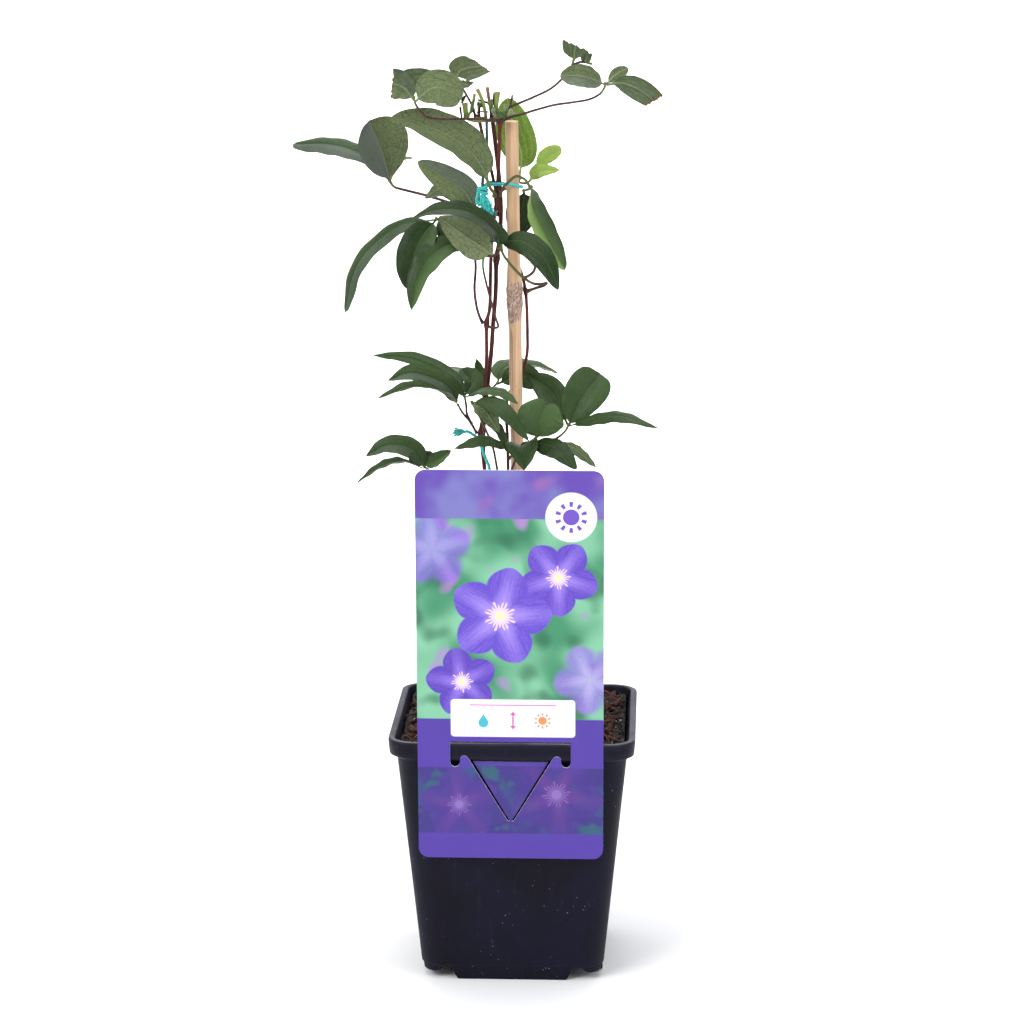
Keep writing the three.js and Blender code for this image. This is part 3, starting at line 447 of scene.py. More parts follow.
def cane_bamboo():
    """Bamboo: fibres along the cane, a rough grey node, dark streaks under it that are partly discolouring
    and partly painted shadow of the stems on its left side, and a sawn top.
    """
    material, _, place = new_material("cane_bamboo")
    x, _, z = place.split()
    fibre = clouds(place.stretched((520, 520, 14)), 1.0, 3, 0.6)
    broad = clouds(place.stretched((160, 160, 9)), 1.0, 2, 0.5, 0.4)
    rough = clouds(place.stretched((1100, 1100, 620)), 1.0, 4, 0.7)
    ragged = clouds(place.stretched((420, 420, 120)), 1.0, 3, 0.6) - 0.5
    knot = (abs(z - CANE_SCAR * MM) + ragged * (24 * MM)).ramp(11.5 * MM, 7 * MM)
    below = z.ramp((CANE_NODE + 6) * MM, (CANE_NODE - 14) * MM)
    below = below * z.ramp((CANE_NODE - 75) * MM, (CANE_NODE - 40) * MM)
    lines = clouds(place.stretched((2400, 2400, 18)), 1.0, 2, 0.5).ramp(0.4, 0.58)
    left = x.ramp(POT_MIDDLE[0] + 1.5 * MM, POT_MIDDLE[0] - 2.5 * MM)
    # Faint broad discolouring, and under the node on the left side dark streaks that are partly
    # discolouring and partly painted shadow cast by the stems
    dark_marks_and_shadow = broad.ramp(0.42, 0.62) * 0.14 + lines * below * left * 0.75
    specks = cells(place, 620).ramp(0.16, 0.07) * clouds(place, 130, 1).ramp(0.52, 0.62)
    base = mix(fibre.ramp(0.3, 0.7), "#c99f74", "#e5c39e")
    base = mix(dark_marks_and_shadow, base, "#86665a")
    base = mix(knot * 0.75, base, "#a08678")
    base = mix(knot * rough.ramp(0.5, 0.58) * 0.65, base, "#6a4c40")
    base = mix(knot * rough.ramp(0.46, 0.38) * 0.6, base, "#e4dcd6")
    base = mix(specks * 0.8, base, "#5b3b22")
    sawn = z.ramp((CANE_TOP - 0.7) * MM, (CANE_TOP - 0.2) * MM)
    base = mix(sawn, base, "#e3c9a0")
    roughness = (knot * 0.4 + sawn * 0.4 + fibre * 0.15).ramp(0, 1, 0.42, 0.85)
    return finish(material, base, roughness, (fibre + knot * rough * 3.0, 0.3, 0.7))


def stem_bark(name, dark, light, green):
    """Bark: the attribute fresh goes from wood, 0, to green, 1, cut marks sawn ends, shade darkens."""
    material, tree, place = new_material(name)
    streak = clouds(place.stretched((900, 900, 45)), 1.0, 3, 0.6)
    patch = clouds(place, 90, 2)
    base = mix(streak.ramp(0.35, 0.68), dark, light)
    base = mix((attribute(tree, "fresh") + (patch - 0.5) * 0.5).ramp(0.3, 0.8), base, green)
    base = mix(attribute(tree, "shade"), base, "#2b1d20")
    base = mix(attribute(tree, "cut"), base, "#946c5a")
    roughness = streak.ramp(0.3, 0.7, 0.42, 0.62)
    return finish(material, base, roughness, (streak + patch, 0.25, 0.6), Specular_IOR_Level=0.3)


# The arching nerves of a leaflet, as shares of half its width from the midrib
NERVES = (0.36, 0.7)


def nerve_lines(tree):
    """The midrib, the arching nerves and the fine net of a blade, each from 0 to 1."""
    across, half, share = (attribute(tree, name) for name in ("across", "half", "share"))
    across = abs(across)
    sheet = add(tree, "ShaderNodeUVMap", uv_map="blade_mm")
    wobble = (clouds(sheet, 0.12, 1) - 0.5) * 1.6
    midrib = (across * half).bell(0.0, share.ramp(0.0, 1.0, 0.55, 0.25))
    fade = share.ramp(0.0, 0.12) * share.ramp(1.0, 0.7)
    arches = 0.0
    for nerve in NERVES:
        arches = ((across - nerve) * half + wobble * 0.5).bell(0.0, 0.34) * fade + arches
    drift = vector(tree, clouds(sheet, 0.3, 1) * 3.0, clouds(sheet.plus((9, 4, 0)), 0.3, 1) * 3.0)
    net = cells(sheet.stretched((1.0, 0.8, 1.0)).plus(drift), 0.45, "DISTANCE_TO_EDGE")
    return midrib, arches, net.ramp(0.055, 0.0)


def leaf_skin(name, deep, fresh, bright, nerve, net_shade, ribs, gloss, roughness, net_share, rib_height):
    """One side of a leaf blade: deep green at a tone of 0, fresh at 1 and bright at 2."""
    material, tree, place = new_material(name)
    midrib, arches, net = nerve_lines(tree)
    tone, torn, bloom = (attribute(tree, field) for field in ("tone", "torn", "bloom"))
    blotch = clouds(place, 60, 3, 0.55)
    fleck = clouds(place, 420, 2)
    # tone also carries the lighter or darker half of some blades, a painted light where the fold turns that
    # half to the light
    base = mix(tone + (blotch - 0.5) * 0.55, deep, fresh)
    base = mix((tone - 1.0).math("MAXIMUM", 0.0), base, bright)
    base = mix(net * net_share, base, net_shade)
    base = mix(midrib * ribs + arches * (ribs * ribs * 0.4), base, nerve)
    base = mix(fleck.ramp(0.66, 0.78) * 0.12, base, nerve)
    # Painted sheen: a grey-blue wash over one half of the blade, or over both, that stands in for the light
    # it reflects
    base = mix(bloom * blotch.ramp(0.2, 0.6, 0.5, 0.85), base, "#687069")
    base = mix(torn, base, "#5f4126")
    height = (midrib * 2.2 + arches * 0.3 + net * 0.8) * rib_height + fleck * 0.25 + blotch * 1.5
    roughness = blotch.ramp(0.3, 0.7, roughness - 0.05, roughness + 0.08)
    return finish(material, base, roughness, (height, 0.22, 0.8), Specular_IOR_Level=gloss)


# How fast the colour winds round the string, in radians a metre
STRAND_TWIST = 2600.0


def tie_string():
    """Turquoise string: its strands wind round it, painted highlight on their crowns and painted shade in
    the grooves between them, under a little fuzz.
    """
    material, tree, place = new_material("tie_turquoise_string")
    turns = attribute(tree, "along") * STRAND_TWIST + attribute(tree, "lobe") * 6.283
    strands = turns.math("SINE").ramp(-1.0, 1.0)
    fuzz = clouds(place, 900, 3, 0.7)
    # Painted highlight on the crowns of the winding strands and painted shade in the grooves between them
    base = mix(strands * 0.7 + fuzz * 0.3, "#0a8f92", "#2ad4c8")
    base = mix(attribute(tree, "shade"), base, "#054a4c")
    return finish(material, base, 0.55, (strands * 0.6 + fuzz, 0.25, 0.7), Sheen_Weight=0.3)


# Routes: cane, stems, stalks and strings, swept along their paths

def make_route_tree():
    """Sweeps a round or lobed section along lines of a radius girth and an unevenness rough."""
    tree, entry = new_tree("route", {
        "Sides": ("Int", 12), "Lobes": ("Float", 0.0), "Lobe depth": ("Float", 0.0),
        "Turns per metre": ("Float", 0.0), "Rough scale": ("Float", 400.0), "Material": ("Material", None)})
    line = add(tree, "GeometryNodeMeshToCurve", {"Mesh": entry["Geometry"]})
    length = add(tree, "GeometryNodeSplineParameter", output=1)
    line = store(tree, line, "along", length)
    tilt = length * entry["Turns per metre"] * (2 * math.pi)
    line = add(tree, "GeometryNodeSetCurveTilt", {"Curve": line, "Tilt": tilt})
    circle = add(tree, "GeometryNodeCurvePrimitiveCircle", {"Resolution": entry["Sides"], "Radius": 1.0})
    turn = add(tree, "GeometryNodeSplineParameter", output=0)
    lobe = (turn * entry["Lobes"] * (2 * math.pi)).math("COSINE") * entry["Lobe depth"] + 1.0
    section = store(tree, circle, "lobe", turn * entry["Lobes"])
    spot = add(tree, "GeometryNodeInputPosition")
    section = add(tree, "GeometryNodeSetPosition", {"Geometry": section, "Position": spot.times(lobe)})
    girth = stored(tree, "girth") * MM
    skin = add(tree, "GeometryNodeCurveToMesh", {
        "Curve": line, "Profile Curve": section, "Scale": girth, "Fill Caps": True})
    lump = (clouds(spot, entry["Rough scale"], 3, 0.6) - 0.5) * stored(tree, "rough") * (2 * MM)
    outward = add(tree, "GeometryNodeInputNormal")
    skin = add(tree, "GeometryNodeSetPosition", {"Geometry": skin, "Offset": outward.times(lump)})
    skin = add(tree, "GeometryNodeSetShadeSmooth", {"Geometry": skin, "Shade Smooth": True})
    return finish_tree(tree, skin, entry["Material"])


ROUTE_TREE = make_route_tree()


def routes(name, lines, material, sides=12, lobes=0, depth=0.0, turns=0.0, rough_scale=400.0):
    """Grows one mesh along several lines. A line is a dict of points and of numbers for each point."""
    points, edges = [], []
    fields = {"girth": [], "rough": [], "fresh": [], "cut": [], "shade": []}
    for line in lines:
        start = sum(len(p) for p in points)
        count = len(line["points"])
        points.append(line["points"])
        edges += [(start + i, start + i + 1) for i in range(count - 1)]
        for field, values in fields.items():
            values.append(np.broadcast_to(line.get(field, 0.0), count))
    mesh = mesh_of(name, np.concatenate(points), edges=edges)
    for field, values in fields.items():
        give(mesh, field, np.concatenate(values))
    return grow(name, mesh, ROUTE_TREE, {
        "Sides": sides, "Lobes": float(lobes), "Lobe depth": depth, "Turns per metre": turns,
        "Rough scale": rough_scale, "Material": material})


# Pot: square, tapered, with a standing lip and a skirt cut into feet

RIM_WIDTH = 130
POT_HEIGHT = 134.5
LIP_HEIGHT = 8.5
LIP_SLOPE = 1.8
WALL_TOP_WIDTH = 121.5
WALL_BOTTOM_WIDTH = 97.4
WALL = 1.8
RIM_CORNER = 14
BASE_CORNER = 12
FOOT_HEIGHT = 7
FOOT_HALF_WIDTH = 32
CORNER_FOOT_START = 41
CORNER_FOOT_BOTTOM = 3.8
DRAIN_RADIUS = 4.2
DRAIN_SIDES = 24
# The rings of drain holes: radius of the ring, number of holes, and the angle of the first
DRAIN_RINGS = ((0, 1, 0), (30, 4, 0), (44, 4, math.pi / 4))


def square_ring(width, corner, z, per_side=57, per_corner=13):
    """The outline of a level square with round corners, corner by corner, each with the side after it."""
    inset = width / 2 - corner
    ring = []
    for quarter in range(4):
        start = quarter * math.pi / 2
        middle = start + math.pi / 4
        cx = math.copysign(inset, math.cos(middle))
        cy = math.copysign(inset, math.sin(middle))
        for i in range(per_corner):
            angle = start + i / (per_corner - 1) * math.pi / 2
            ring.append((cx + corner * math.cos(angle), cy + corner * math.sin(angle), z))
        ax, ay = -math.sin(start + math.pi / 2), math.cos(start + math.pi / 2)
        end = ring[-1]
        for i in range(1, per_side + 1):
            step = 2 * inset * i / (per_side + 1)
            ring.append((end[0] + ax * step, end[1] + ay * step, z))
    return np.array(ring)


def foot_edge(ring):
    """How high the skirt ends over the ground at each point: long feet, gaps, and small corner feet."""
    sideways = np.min(np.abs(ring[:, :2]), axis=1)
    gap = FOOT_HEIGHT - 0.5
    flare = smooth_step(sideways, FOOT_HALF_WIDTH - 3.2, FOOT_HALF_WIDTH + 0.9)
    corner = smooth_step(sideways, CORNER_FOOT_START - 2.2, CORNER_FOOT_START + 0.6)
    return gap * flare - (gap - CORNER_FOOT_BOTTOM) * corner


def pot_rings():
    """Rings up the outside of the pot, over its lip and down its inside to the floor."""
    lip = POT_HEIGHT - LIP_HEIGHT
    base, corner = WALL_BOTTOM_WIDTH, BASE_CORNER
    edge = foot_edge(square_ring(base - 1.6, corner - 1, 0))
    rings = [square_ring(base - 8, corner - 4, FOOT_HEIGHT - 0.1)]
    for width, rise in ((base - 7.4, 0.5), (base - 6.8, 0.0), (base - 2.4, 0.0), (base - 1.5, 0.6)):
        skirt = square_ring(width, corner - 1, 0)
        skirt[:, 2] = edge + rise
        rings.append(skirt)
    profile = [(base - 0.9, corner, FOOT_HEIGHT + 0.2), (base - 0.8, corner, FOOT_HEIGHT + 0.55),
               (base + 0.1, corner, FOOT_HEIGHT + 0.8), (base + 0.3, corner, FOOT_HEIGHT + 1.4)]
    top, rim, high, r = WALL_TOP_WIDTH, RIM_WIDTH, POT_HEIGHT, RIM_CORNER
    for z in (14, 30, 50, 70, 90, 110, 118, 122):
        rise = (z - FOOT_HEIGHT) / (lip - FOOT_HEIGHT)
        profile.append((base + (top - base) * rise, corner + (r - 1.5 - corner) * rise, z))
    profile += [
        (top - 0.1, r - 1.5, lip - LIP_SLOPE - 0.7), (top + 0.3, r - 1.4, lip - LIP_SLOPE),
        (rim - 2.4, r, lip - 0.25), (rim - 1.6, r, lip), (rim - 1.3, r, lip + 0.4), (rim - 0.6, r, lip + 4),
        (rim, r, high - 1.1), (rim - 0.15, r, high - 0.5), (rim - 0.6, r - 0.2, high - 0.12),
        (rim - 1.2, r - 0.5, high), (top + 2.5, r - 2.6, high), (top + 1.8, r - 2.9, high - 0.3),
        (top + 1.3, r - 3, high - 1), (top - 3, r - 4, lip - 2), (top - 3.6, r - 4, lip - 6),
        (base - 2 * WALL + 1, corner - WALL, FOOT_HEIGHT + WALL + 1),
        (base - 2 * WALL - 1, corner - WALL, FOOT_HEIGHT + WALL),
    ]
    return rings + [square_ring(*step) for step in profile]


def drain_cutter():
    """Round cutters for the holes in the pot's floor, under the walls' middles and the corners."""
    cutters = []
    turn = np.linspace(0, 2 * math.pi, DRAIN_SIDES, endpoint=False)
    for ring_radius, count, start in DRAIN_RINGS:
        for i in range(count):
            angle = start + i * 2 * math.pi / count
            x, y = ring_radius * math.cos(angle), ring_radius * math.sin(angle)
            round_x, round_y = x + DRAIN_RADIUS * np.cos(turn), y + DRAIN_RADIUS * np.sin(turn)
            rings = [np.stack([round_x, round_y, np.full(DRAIN_SIDES, z)], axis=1)
                     for z in (FOOT_HEIGHT - 3.0, FOOT_HEIGHT + WALL + 2)]
            cutters.append(mesh_of("drain", *loft(rings)))
    return joined("drain_cutter", cutters)


# Where the pot's edges are pale, partly worn and partly a painted highlight: height, reach up and down,
# strength
POT_PALE_EDGES = (
    (POT_HEIGHT - 0.2, 0.7, 0.85), (POT_HEIGHT - LIP_HEIGHT, 0.6, 0.3), (FOOT_HEIGHT + 0.8, 0.4, 0.25))


def make_pot():
    shell = new_object("pot_shell", mesh_of("pot_shell", *loft(pot_rings())))
    cutter = new_object("drain_cutter", drain_cutter())
    holes = shell.modifiers.new("drain_holes", "BOOLEAN")
    holes.operation = "DIFFERENCE"
    holes.object = cutter
    mesh = baked(shell)
    for part in (shell, cutter):
        bpy.data.objects.remove(part)
    height = point_places(mesh)[:, 2] / MM
    # Pale edges, partly worn and partly a painted highlight
    pale_edges = (strength * np.exp(-((height - level) / reach) ** 2) for level, reach, strength in POT_PALE_EDGES)
    give(mesh, "wear", sum(pale_edges))
    mesh.materials.clear()
    show("pot_body", mesh, "pot_plastic", "pot", [pot_plastic()])


# Soil: the filling with its broken surface, and the bark, fibre, grit and crumbs that lie in it

SOIL_TOP = 130
SOIL_RELIEF = 1.6
SOIL_BOTTOM = 9.15
SOIL_EDGE = WALL_TOP_WIDTH - 3.4
SOIL_CORNER = RIM_CORNER - 4.4
SOIL_RINGS = 46


def soil_height(x, y):
    """The height of the soil: a low crown with swells, lumps and the roughness of the mix."""
    swell = np.sin(x * 0.11 + 1.3) * np.cos(y * 0.13 - 0.4)
    lumps = np.sin(x * 0.37 + y * 0.21) * np.sin(y * 0.41 - x * 0.17 + 2)
    crown = 2.2 * np.exp(-(x * x + y * y) / 900)
    fine = noise.fractal(Vector((x, y, 7)) * 0.21, 0.6, 2.0, 4)
    coarse = noise.fractal(Vector((x, y, 3)) * 0.07, 0.8, 2.0, 2)
    plain = float(SOIL_TOP + SOIL_RELIEF * (0.7 * swell + 0.6 * lumps) + crown)
    return plain + 0.9 * fine + 0.6 * coarse


def soil_bed():
    """The filling of the pot. Its attribute outward goes from 0 in the middle to 1 at the wall."""
    rings = [square_ring(WALL_BOTTOM_WIDTH - 5, BASE_CORNER - 2.4, SOIL_BOTTOM, 30, 8),
             square_ring(SOIL_EDGE - 0.4, SOIL_CORNER, SOIL_TOP - 4, 30, 8)]
    inner = []
    for share in np.linspace(1, 0.02, SOIL_RINGS):
        ring = square_ring(SOIL_EDGE * share, SOIL_CORNER * share, 0, 30, 8)
        for p in ring:
            p[2] = soil_height(p[0], p[1]) - 0.6 * max(0.0, share - 0.97) / 0.03
        rings.append(ring)
        inner += [share] * len(ring)
    mesh = mesh_of("soil_bed", *loft(rings))
    give(mesh, "outward", [1.0] * (2 * len(rings[0])) + inner + [1.0, 0.0])
    give(mesh, "tint", np.full(len(mesh.vertices), 0.2))
    return mesh


def make_scatter_tree():
    """Strews copies of a small piece over a bed, each turned, tilted and sized by its own seeded draw."""
    tree, entry = new_tree("strewn", {
        "Piece": ("Object", None), "Density": ("Float", 1000.0), "Seed": ("Int", 0),
        "Smallest": ("Float", 0.7), "Largest": ("Float", 1.3), "Tilt": ("Float", 0.5),
        "Lift": ("Float", 0.0), "Reach": ("Float", 0.95), "Material": ("Material", None),
    })
    z = add(tree, "GeometryNodeInputNormal").split()[2]
    inside = stored(tree, "outward").math("LESS_THAN", entry["Reach"]) * z.math("GREATER_THAN", 0.2)
    points = add(tree, "GeometryNodeDistributePointsOnFaces", {
        "Mesh": entry["Geometry"], "Selection": inside, "Density": entry["Density"], "Seed": entry["Seed"]})

    def draw(low, high, salt):
        inputs = {2: low, 3: high, "Seed": entry["Seed"] + salt}
        return add(tree, "FunctionNodeRandomValue", inputs, output=1)

    tilt = entry["Tilt"]
    turn = vector(tree, draw(tilt * -1.0, tilt, 1), draw(tilt * -1.0, tilt, 2), draw(0.0, 2 * math.pi, 3))
    piece = add(tree, "GeometryNodeObjectInfo", {"Object": entry["Piece"]}, output=4)
    turned = add(tree, "FunctionNodeEulerToRotation", {"Euler": turn})
    strewn = add(tree, "GeometryNodeInstanceOnPoints", {
        "Points": points, "Instance": piece, "Rotation": turned,
        "Scale": draw(entry["Smallest"], entry["Largest"], 4)})
    lift = vector(tree, 0.0, 0.0, entry["Lift"] * MM)
    strewn = add(tree, "GeometryNodeTranslateInstances", {
        "Instances": strewn, "Translation": lift, "Local Space": False})
    strewn = store(tree, strewn, "tint", draw(0.0, 1.0, 5), domain="INSTANCE")
    return finish_tree(tree, strewn, entry["Material"])


def lump_mesh(name, size, seed, detail=2, rough=0.3):
    """A small broken lump: a ball pushed about by noise, stretched to its size."""
    grid = bmesh.new()
    bmesh.ops.create_icosphere(grid, subdivisions=detail, radius=0.5)
    for vert in grid.verts:
        push = noise.noise(vert.co * 2.3 + Vector((seed * 3.1, 0, 0)))
        vert.co = Vector(c * s for c, s in zip(vert.co * (1 + rough * 2 * push), size)) * MM
    mesh = bpy.data.meshes.new(name)
    grid.to_mesh(mesh)
    grid.free()
    return mesh


def fibre_mesh(name, length, thick, curl, seed):
    """A bent strand of bark or root with a three-sided section."""
    share = np.linspace(0, 1, 9)
    draw = random.Random(seed)
    bend = draw.uniform(-0.5, 0.5)
    middle = np.stack([(share - 0.5) * length, np.sin(share * math.pi * (1 + bend)) * curl,
                       np.sin(share * math.pi) * curl * 0.6], axis=1)
    rings = []
    for place, part in zip(middle, share):
        radius = thick / 2 * (0.35 + 0.65 * math.sin(math.pi * min(0.97, max(0.03, part))))
        turn = np.array([0, 2, 4]) * math.pi / 3 + part * 2
        rings.append(place + np.stack([np.zeros(3), radius * np.cos(turn), radius * np.sin(turn)], axis=1))
    points, faces = loft(rings)
    mesh = bpy.data.meshes.new(name)
    mesh.from_pydata([tuple(p * MM) for p in points], [], faces)
    return mesh


# What lies in the soil: the maker of its small pieces with their sizes, its skin, and how it is strewn
STREWN = [
    dict(name="soil_bark", maker=lump_mesh, skin=("soil_bark_chips", "#0d0706", "#4a2618"),
         sizes=[((9, 4, 2.5), 1), ((7, 5, 3), 2), ((12, 3, 2), 3)],
         how=dict(Seed=3, Density=9000, Smallest=0.45, Largest=1.2, Tilt=0.8, Lift=1.4, Reach=0.93)),
    dict(name="soil_fibre", maker=fibre_mesh, skin=("soil_bark_fibre", "#170b07", "#7c4630"),
         sizes=[(11, 0.8, 0.6, 1), (16, 0.6, 1.2, 2), (8, 1.3, 0.3, 3)],
         how=dict(Seed=5, Density=9500, Smallest=0.5, Largest=1.2, Tilt=0.9, Lift=1.8, Reach=0.93)),
    dict(name="soil_grit", maker=lump_mesh, skin=("soil_white_grit", "#8d857a", "#e6e1d6"),
         sizes=[((1.7, 1.4, 1.1), 4, 1)],
         how=dict(Seed=7, Density=9000, Smallest=0.5, Largest=1.2, Tilt=1.5, Lift=0.3, Reach=0.96)),
    dict(name="soil_crumb", maker=lump_mesh, skin=("soil_crumbs", "#080505", "#261610"),
         sizes=[((2.0, 1.6, 1.3), 5, 1, 0.5), ((1.2, 1.0, 0.9), 6, 1, 0.5)],
         how=dict(Seed=9, Density=75000, Smallest=0.5, Largest=1.3, Tilt=1.5, Lift=0.2, Reach=0.985)),
]
SEED_STEP = 17


def strew(bed, tree, kind, material):
    """Strews each small piece of a kind over the bed and joins them in one mesh."""
    grown = []
    for i, size in enumerate(kind["sizes"]):
        seedling = new_object("seedling", kind["maker"]("seedling", *size))
        seed = kind["how"]["Seed"] + SEED_STEP * i
        values = dict(kind["how"], Piece=seedling, Seed=seed, Material=material)
        grown.append(grow(kind["name"], bed, tree, values))
        bpy.data.objects.remove(seedling)
    return joined(kind["name"], grown)


def make_soil():
    tree = make_scatter_tree()
    bed = soil_bed()
    for kind in STREWN:
        material = potting_mix(*kind["skin"])
        show(kind["name"], strew(bed, tree, kind, material), "soil", "soil")
    show("soil_filling", bed, "soil", "soil", [material])


# Cane

CANE_RADIUS = 3.45
CANE_BOTTOM = 16
CANE_TOP = 453
CANE_NODE = 361
CANE_SCAR = CANE_NODE - 3.5
CANE_LEAN_START = 133
CANE_Y = 2.5
CANE_BOTTOM_X = 3
CANE_TOP_X = -2.3
CANE_GIRTH_STEP = 4.0
CANE_NODE_STEP = 0.7

# Radius of the cane over its plain radius, from the bottom to the sawn top
CANE_SWELL = [
    (CANE_BOTTOM, 0), (SOIL_TOP + 10, 0), (240, 0.1), (CANE_NODE - 22, 0), (CANE_NODE - 9, 0.35),
    (CANE_NODE - 4, 1.0), (CANE_NODE, 0.85), (CANE_NODE + 2.5, 1.05), (CANE_NODE + 8, 0.55),
    (CANE_NODE + 22, -0.1), (420, 0), (CANE_TOP - 0.5, 0), (CANE_TOP - 0.1, -0.25), (CANE_TOP, -0.5),
]


def make_cane():
    low, high = CANE_NODE - 30, CANE_NODE + 28
    z = np.unique(np.concatenate([
        np.arange(CANE_BOTTOM, low, CANE_GIRTH_STEP), np.arange(low, high, CANE_NODE_STEP),
        np.arange(high, CANE_TOP - 1, CANE_GIRTH_STEP), [CANE_TOP - 0.5, CANE_TOP - 0.1, CANE_TOP]]))
    rise = np.maximum(0, z - CANE_LEAN_START) / (CANE_TOP - CANE_LEAN_START)
    x = CANE_BOTTOM_X + (CANE_TOP_X - CANE_BOTTOM_X) * rise
    points = np.stack([x, np.full(len(z), CANE_Y), z], axis=1)
    heights, swell = zip(*CANE_SWELL)
    near = np.exp(-((z - CANE_NODE) / 9) ** 2)
    line = dict(points=points, girth=CANE_RADIUS + np.interp(z, heights, swell), rough=0.02 + 0.75 * near)
    mesh = routes("cane_stake", [line], cane_bamboo(), sides=64, rough_scale=420.0)
    show("cane_stake", mesh, "cane", "cane")


# Stems: the path of each, the heights where it swells at a node, and the cut stubs it carries

STEM_BOTTOM = 62
ROOT_CLEAR = 0.6


def stub(radius, *path, **looks):
    """A stub of a stem: looks may be pale, how dry it is, fresh, how green, and shade, how dark."""
    return dict(looks, radius=radius, path=path)


def twig(radius, shade, *path):
    """A bare brown twig."""
    return stub(radius, *path, fresh=0, shade=shade)


STEMS = [
    dict(name="stem_red", slot="red_stem", radius=0.95,
         path=[(-8, 0, STEM_BOTTOM), (-8, 0, 100), (-8, 0, 130), (-10, -1, 160), (-14, -3, 220),
               (-16, -4, 262), (-17.3, -4.5, 276), (-18.5, -4.5, 288), (-17.6, -4.5, 295),
               (-16.2, -4.5, 304), (-16, -4.5, 316), (-15.2, -4.5, 330), (-15.2, -4.5, 347),
               (-13.6, -4.5, 355), (-13.2, -4.5, 368), (-12.9, -4.5, 381), (-12, -4, 396), (-10, -3, 412),
               (-8.9, -3, 430), (-8.3, -3.5, 445), (-8, -4, 455)],
         nodes=[(288, 1.7), (347, 1.6), (414, 1.6), (454, 1.9)],
         stubs=[
             stub(0.9, (-8, -4, 454), (-14, -4, 453.6), (-21, -3, 453.4), (-26.5, -2, 455)),
             stub(1.5, (-25.8, -2.4, 454.2), (-26.1, -2.5, 458.8), (-26.5, -2.5, 462.7)),
             stub(0.95, (-15.4, -3.8, 453.6), (-15.9, -2.8, 458), (-17.2, -3.4, 464), (-20, -3.5, 470)),
             stub(1.4, (-9, -4, 454), (-10.2, -4, 459), (-9.8, -4, 464), (-9.3, -4, 468.6)),
             stub(0.9, (-7.4, -4, 454), (-6.2, -4.6, 457), (-5.5, -4.8, 462)),
             stub(0.6, (-7, -4, 454.6), (-3.6, -4, 459), (-1.6, -4, 465.5)),
             stub(0.75, (-25, -2.6, 454.6), (-24.1, -3, 457), (-22.6, -3.4, 461), (-21.3, -3.6, 467.4)),
         ]),
    dict(name="stem_dark", slot="dark_stem", radius=1.15,
         path=[(-3, 8, STEM_BOTTOM), (-3, 8, 100), (-3, 8, 130), (-6, 7, 165), (-12, 4, 220),
               (-16.6, 1.5, 266), (-17.2, 0.5, 288), (-16, 0, 304), (-14.4, -0.5, 318),
               (-12.8, -0.8, 333), (-11.9, -0.8, 347), (-10.9, -0.8, 358), (-10.4, -0.8, 368),
               (-10.2, 0, 380), (-8.6, 1.5, 392), (-8, 3, 402), (-8.2, 4, 413), (-9.3, 4, 427),
               (-10.7, 3.4, 440), (-12.4, 2.4, 454)],
         nodes=[(381, 1.9)],
         stubs=[
             stub(0.9, (-12.2, 2.4, 452), (-13.6, 2, 461), (-15, 2, 470.5), pale=0.8),
         ]),
    dict(name="stem_back", slot="red_stem", radius=0.85,
         path=[(-2, -4.5, STEM_BOTTOM), (-2, -4.5, 100), (-2, -4.5, 130), (-2.5, -4.5, 180),
               (-3, -4, 240), (-3.9, -3.6, 270), (-4.3, -3, 286), (-5, 0, 297), (-4.6, 5, 306),
               (-1, 8.2, 313), (3.4, 8, 320), (5.8, 5.6, 330), (6, 4, 342), (5.7, 3.6, 354),
               (4.8, 5, 364), (2.4, 8, 373), (-2, 9.2, 381), (-6.5, 8.4, 391), (-9, 8.5, 403),
               (-11, 8.5, 416), (-14, 7, 430), (-17, 4, 443), (-19.6, 2, 455)],
         nodes=[(363, 1.3), (454, 1.3)],
         stubs=[
             stub(0.7, (-19.6, 2, 454), (-19.6, 2, 463)),
         ]),
]


def root_on(name, z, bearing):
    """Where a stalk starts: beside its stem at a height, on the side of a bearing in degrees from +X."""
    stem = next(stem for stem in STEMS if stem["name"] == name)
    swollen = [size for height, size in stem["nodes"] if abs(height - z) < size]
    reach = (swollen[0] if swollen else stem["radius"]) + ROOT_CLEAR
    x, y, height = fine_line(stem["path"], 40).T
    angle = math.radians(bearing)
    return (np.interp(z, height, x) + reach * math.cos(angle),
            np.interp(z, height, y) + reach * math.sin(angle), z)


def stem_line(stem):
    points = fine_line(stem["path"], 14)
    girth = np.full(len(points), float(stem["radius"]))
    rough = np.full(len(points), 0.12)
    for height, size in stem["nodes"]:
        near = np.exp(-((points[:, 2] - height) / (1.5 * size)) ** 2)
        girth = np.maximum(girth, stem["radius"] + (size - stem["radius"]) * near)
        rough += 0.3 * near
    return dict(points=points, girth=girth, rough=rough)


def stub_line(stub):
    """A cut stub: green, or pale and dry, a little wider at its sawn end, brown on the cut."""
    points = fine_line(stub["path"], 8)
    share = np.linspace(0, 1, len(points))
    tip = points[-1] + (points[-1] - points[-2]) * 0.12
    points = np.vstack([points, tip])
    share = np.append(share, 1.0)
    girth = stub["radius"] * (0.9 + 0.18 * smooth_step(share, 0.6, 1.0))
    girth[-1] *= 0.82
    pale = stub.get("pale", 0.0)
    cut = np.maximum(smooth_step(share, 0.9, 0.98), pale * smooth_step(share, 0.3, 0.5))
    fresh = 0.0 if pale else stub.get("fresh", 1.0) * (0.45 + 0.6 * share)
    return dict(points=points, girth=girth, rough=0.2, fresh=fresh, cut=cut, shade=stub.get("shade", 0.0))


